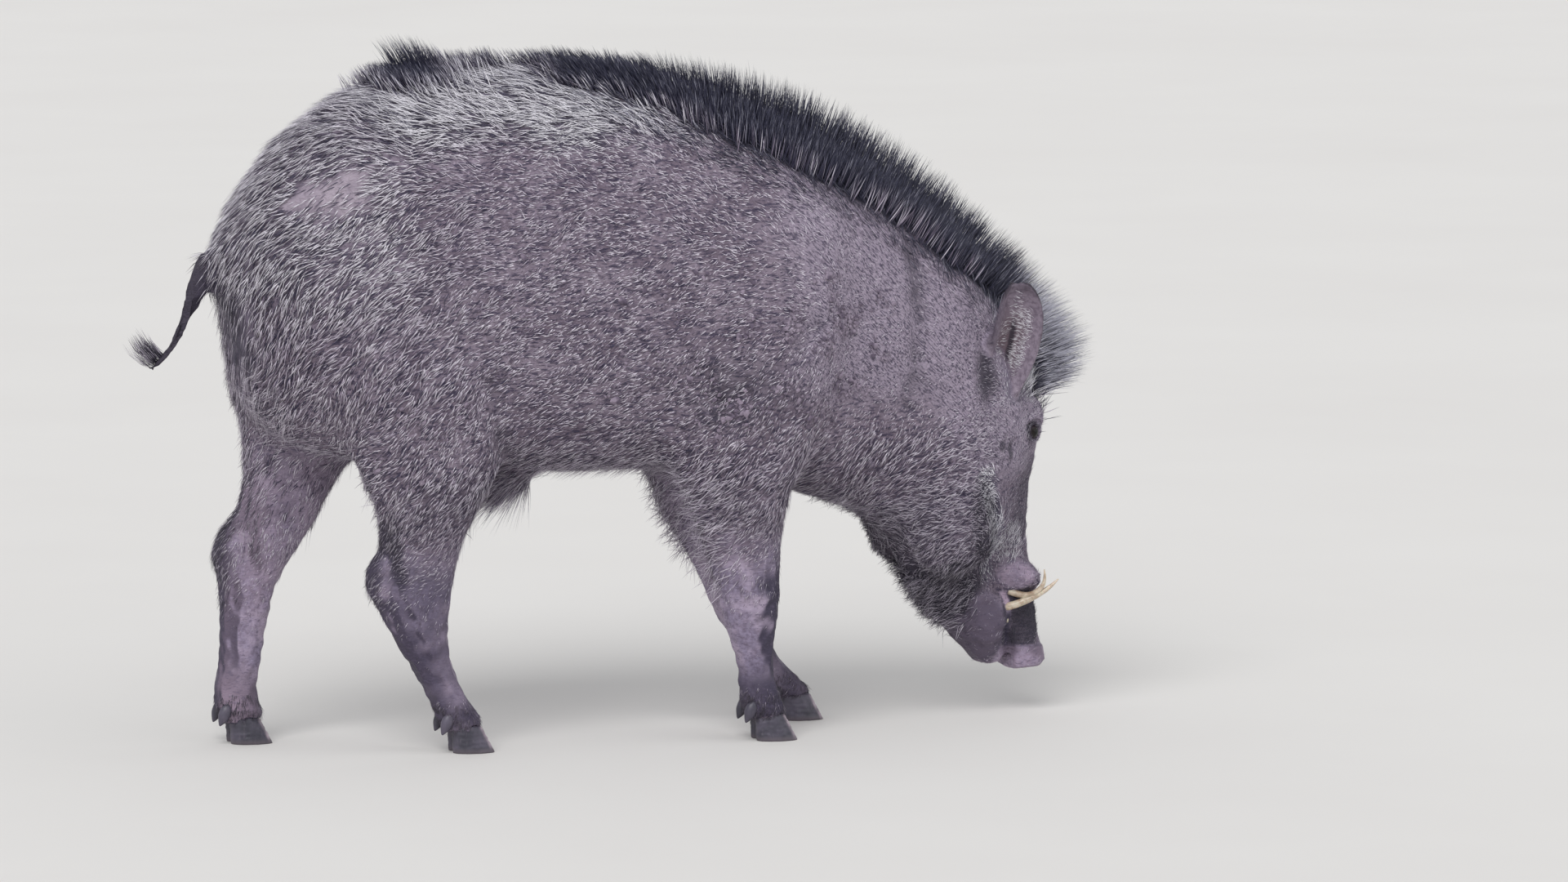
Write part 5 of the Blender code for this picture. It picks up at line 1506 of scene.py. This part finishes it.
def horn_material():
    """Hoof horn: hard keratin grown in rings and scuffed by stony ground. It is a dark blue-grey, paler and
    pinkish where the front edge is worn, with a dull polish and dried mud at the foot."""
    made, tree, shader, place = new_material("scuffed_hoof_horn", roughness=0.45, ior=1.54)
    scuffs = noise(tree, place, 5, (1, 1, 0.35))
    patches = noise(tree, place, 38)
    horn = layered(tree, linear("35333f"), (linear("575161"), patches, 0.35, 0.68, 1.0))
    horn = colour_mix(tree, attribute(tree, "worn")[0], horn, linear("ab9ca6"))
    horn = layered(tree, horn, (linear("8d8089"), scuffs, 0.55, 0.80, 0.25))
    height = add_node(tree, "ShaderNodeSeparateXYZ", {"Vector": place}).outputs["Z"]
    horn = colour_mix(tree, between(tree, height, 0.002, 0.009, 0.60, 0.0), horn, linear("5e555c"))
    tree.links.new(horn, shader.inputs["Base Color"])
    give_relief(tree, shader, scuffs, 0.3, 0.0005)
    return made


# ---------------------------------------------------------------- stage
# Where the camera looks, from the middle of the floor under the frame's box, as shares of the box's sides
VIEW_CENTRE = Vector((0.158, -0.074, 0.412))
SENSOR_WIDTH = 36               # of the camera, in millimetres
FLOOR_RADIUS = 45


class BoarStage(bpy.types.Operator):
    """Lays the pale floor, and sets the soft lights and the camera"""
    bl_idname = "boar.stage"
    bl_label = "Stage"

    def execute(self, context):
        settings = context.scene.boar_stage
        self.floor()
        self.lights(context.scene)
        low, high = (Vector(corner) for corner in CAD_BOX)
        size = high - low
        middle = Vector(((low.x + high.x) / 2, (low.y + high.y) / 2, low.z))
        target = middle + Vector(share * side for share, side in zip(VIEW_CENTRE, size))
        away = Vector((math.sin(settings.azimuth) * math.cos(settings.elevation),
                       -math.cos(settings.azimuth) * math.cos(settings.elevation),
                       math.sin(settings.elevation)))
        bpy.ops.object.camera_add(location=target + away * settings.distance,
                                  rotation=away.to_track_quat("Z", "Y").to_euler())
        camera = context.object
        camera.name = "camera"
        camera.data.sensor_width = SENSOR_WIDTH
        camera.data.lens = SENSOR_WIDTH * settings.distance / settings.width
        camera.data.clip_end = 100
        context.scene.camera = camera
        return {"FINISHED"}

    def floor(self):
        bpy.ops.mesh.primitive_circle_add(vertices=96, radius=FLOOR_RADIUS, fill_type="NGON",
                                          location=(0, 0, 0))
        floor = bpy.context.object
        floor.name = "floor"
        made, tree, shader, place = new_material("pale_floor", roughness=0.9)
        mottle = noise(tree, place, 900)
        paint = colour_mix(tree, mottle, linear("d9d6d3"), linear("e0dedb"))
        tree.links.new(paint, shader.inputs["Base Color"])
        floor.data.materials.append(made)

    def lights(self, scene):
        world = bpy.data.worlds.new("soft_studio")
        scene.world = world
        world.use_nodes = True
        sky = world.node_tree.nodes["Background"]
        sky.inputs["Color"].default_value = linear("eef0f3")
        sky.inputs["Strength"].default_value = 0.70
        for name, towards, angle, power in (("key", (-0.45, -0.75, 0.85), 35, 1.75),
                                           ("fill", (0.9, -0.6, 0.5), 60, 0.4)):
            bpy.ops.object.light_add(type="SUN", location=(0, 0, 3),
                                     rotation=Vector(towards).to_track_quat("Z", "Y").to_euler())
            light = bpy.context.object
            light.name = name
            light.data.angle = math.radians(angle)
            light.data.energy = power
        scene.view_settings.view_transform = "Standard"


class BoarPanel(bpy.types.Panel):
    """The boar's pieces, in the order they are made"""
    bl_idname = "VIEW3D_PT_boar"
    bl_label = "Wild boar"
    bl_space_type = "VIEW_3D"
    bl_region_type = "UI"
    bl_category = "Boar"

    def draw(self, context):
        for operator in OPERATORS:
            self.layout.operator(operator.bl_idname)
        for group in (context.scene.boar_skin, context.scene.boar_coat, context.scene.boar_stage):
            box = self.layout.box()
            for name in group.bl_rna.properties.keys():
                if name not in ("rna_type", "name"):
                    box.prop(group, name)


SETTINGS = {"boar_skin": BoarSkinSettings, "boar_coat": BoarCoatSettings, "boar_stage": BoarStageSettings}
OPERATORS = (BoarStage, BoarSkin, BoarEyes, BoarTusks, BoarHooves, BoarCoat, BoarMane, BoarLongHair)


def register():
    for made in (*SETTINGS.values(), *OPERATORS, BoarPanel):
        bpy.utils.register_class(made)
    for name, group in SETTINGS.items():
        setattr(bpy.types.Scene, name, PointerProperty(type=group))


def unregister():
    for name in SETTINGS:
        delattr(bpy.types.Scene, name)
    for made in reversed((*SETTINGS.values(), *OPERATORS, BoarPanel)):
        bpy.utils.unregister_class(made)


def main():
    register()
    bpy.ops.boar.stage()
    bpy.ops.boar.skin()
    bpy.ops.boar.eyes()
    bpy.ops.boar.tusks()
    bpy.ops.boar.hooves()
    bpy.ops.boar.coat()
    bpy.ops.boar.mane()
    bpy.ops.boar.long_hair()


if __name__ == "__main__":
    main()
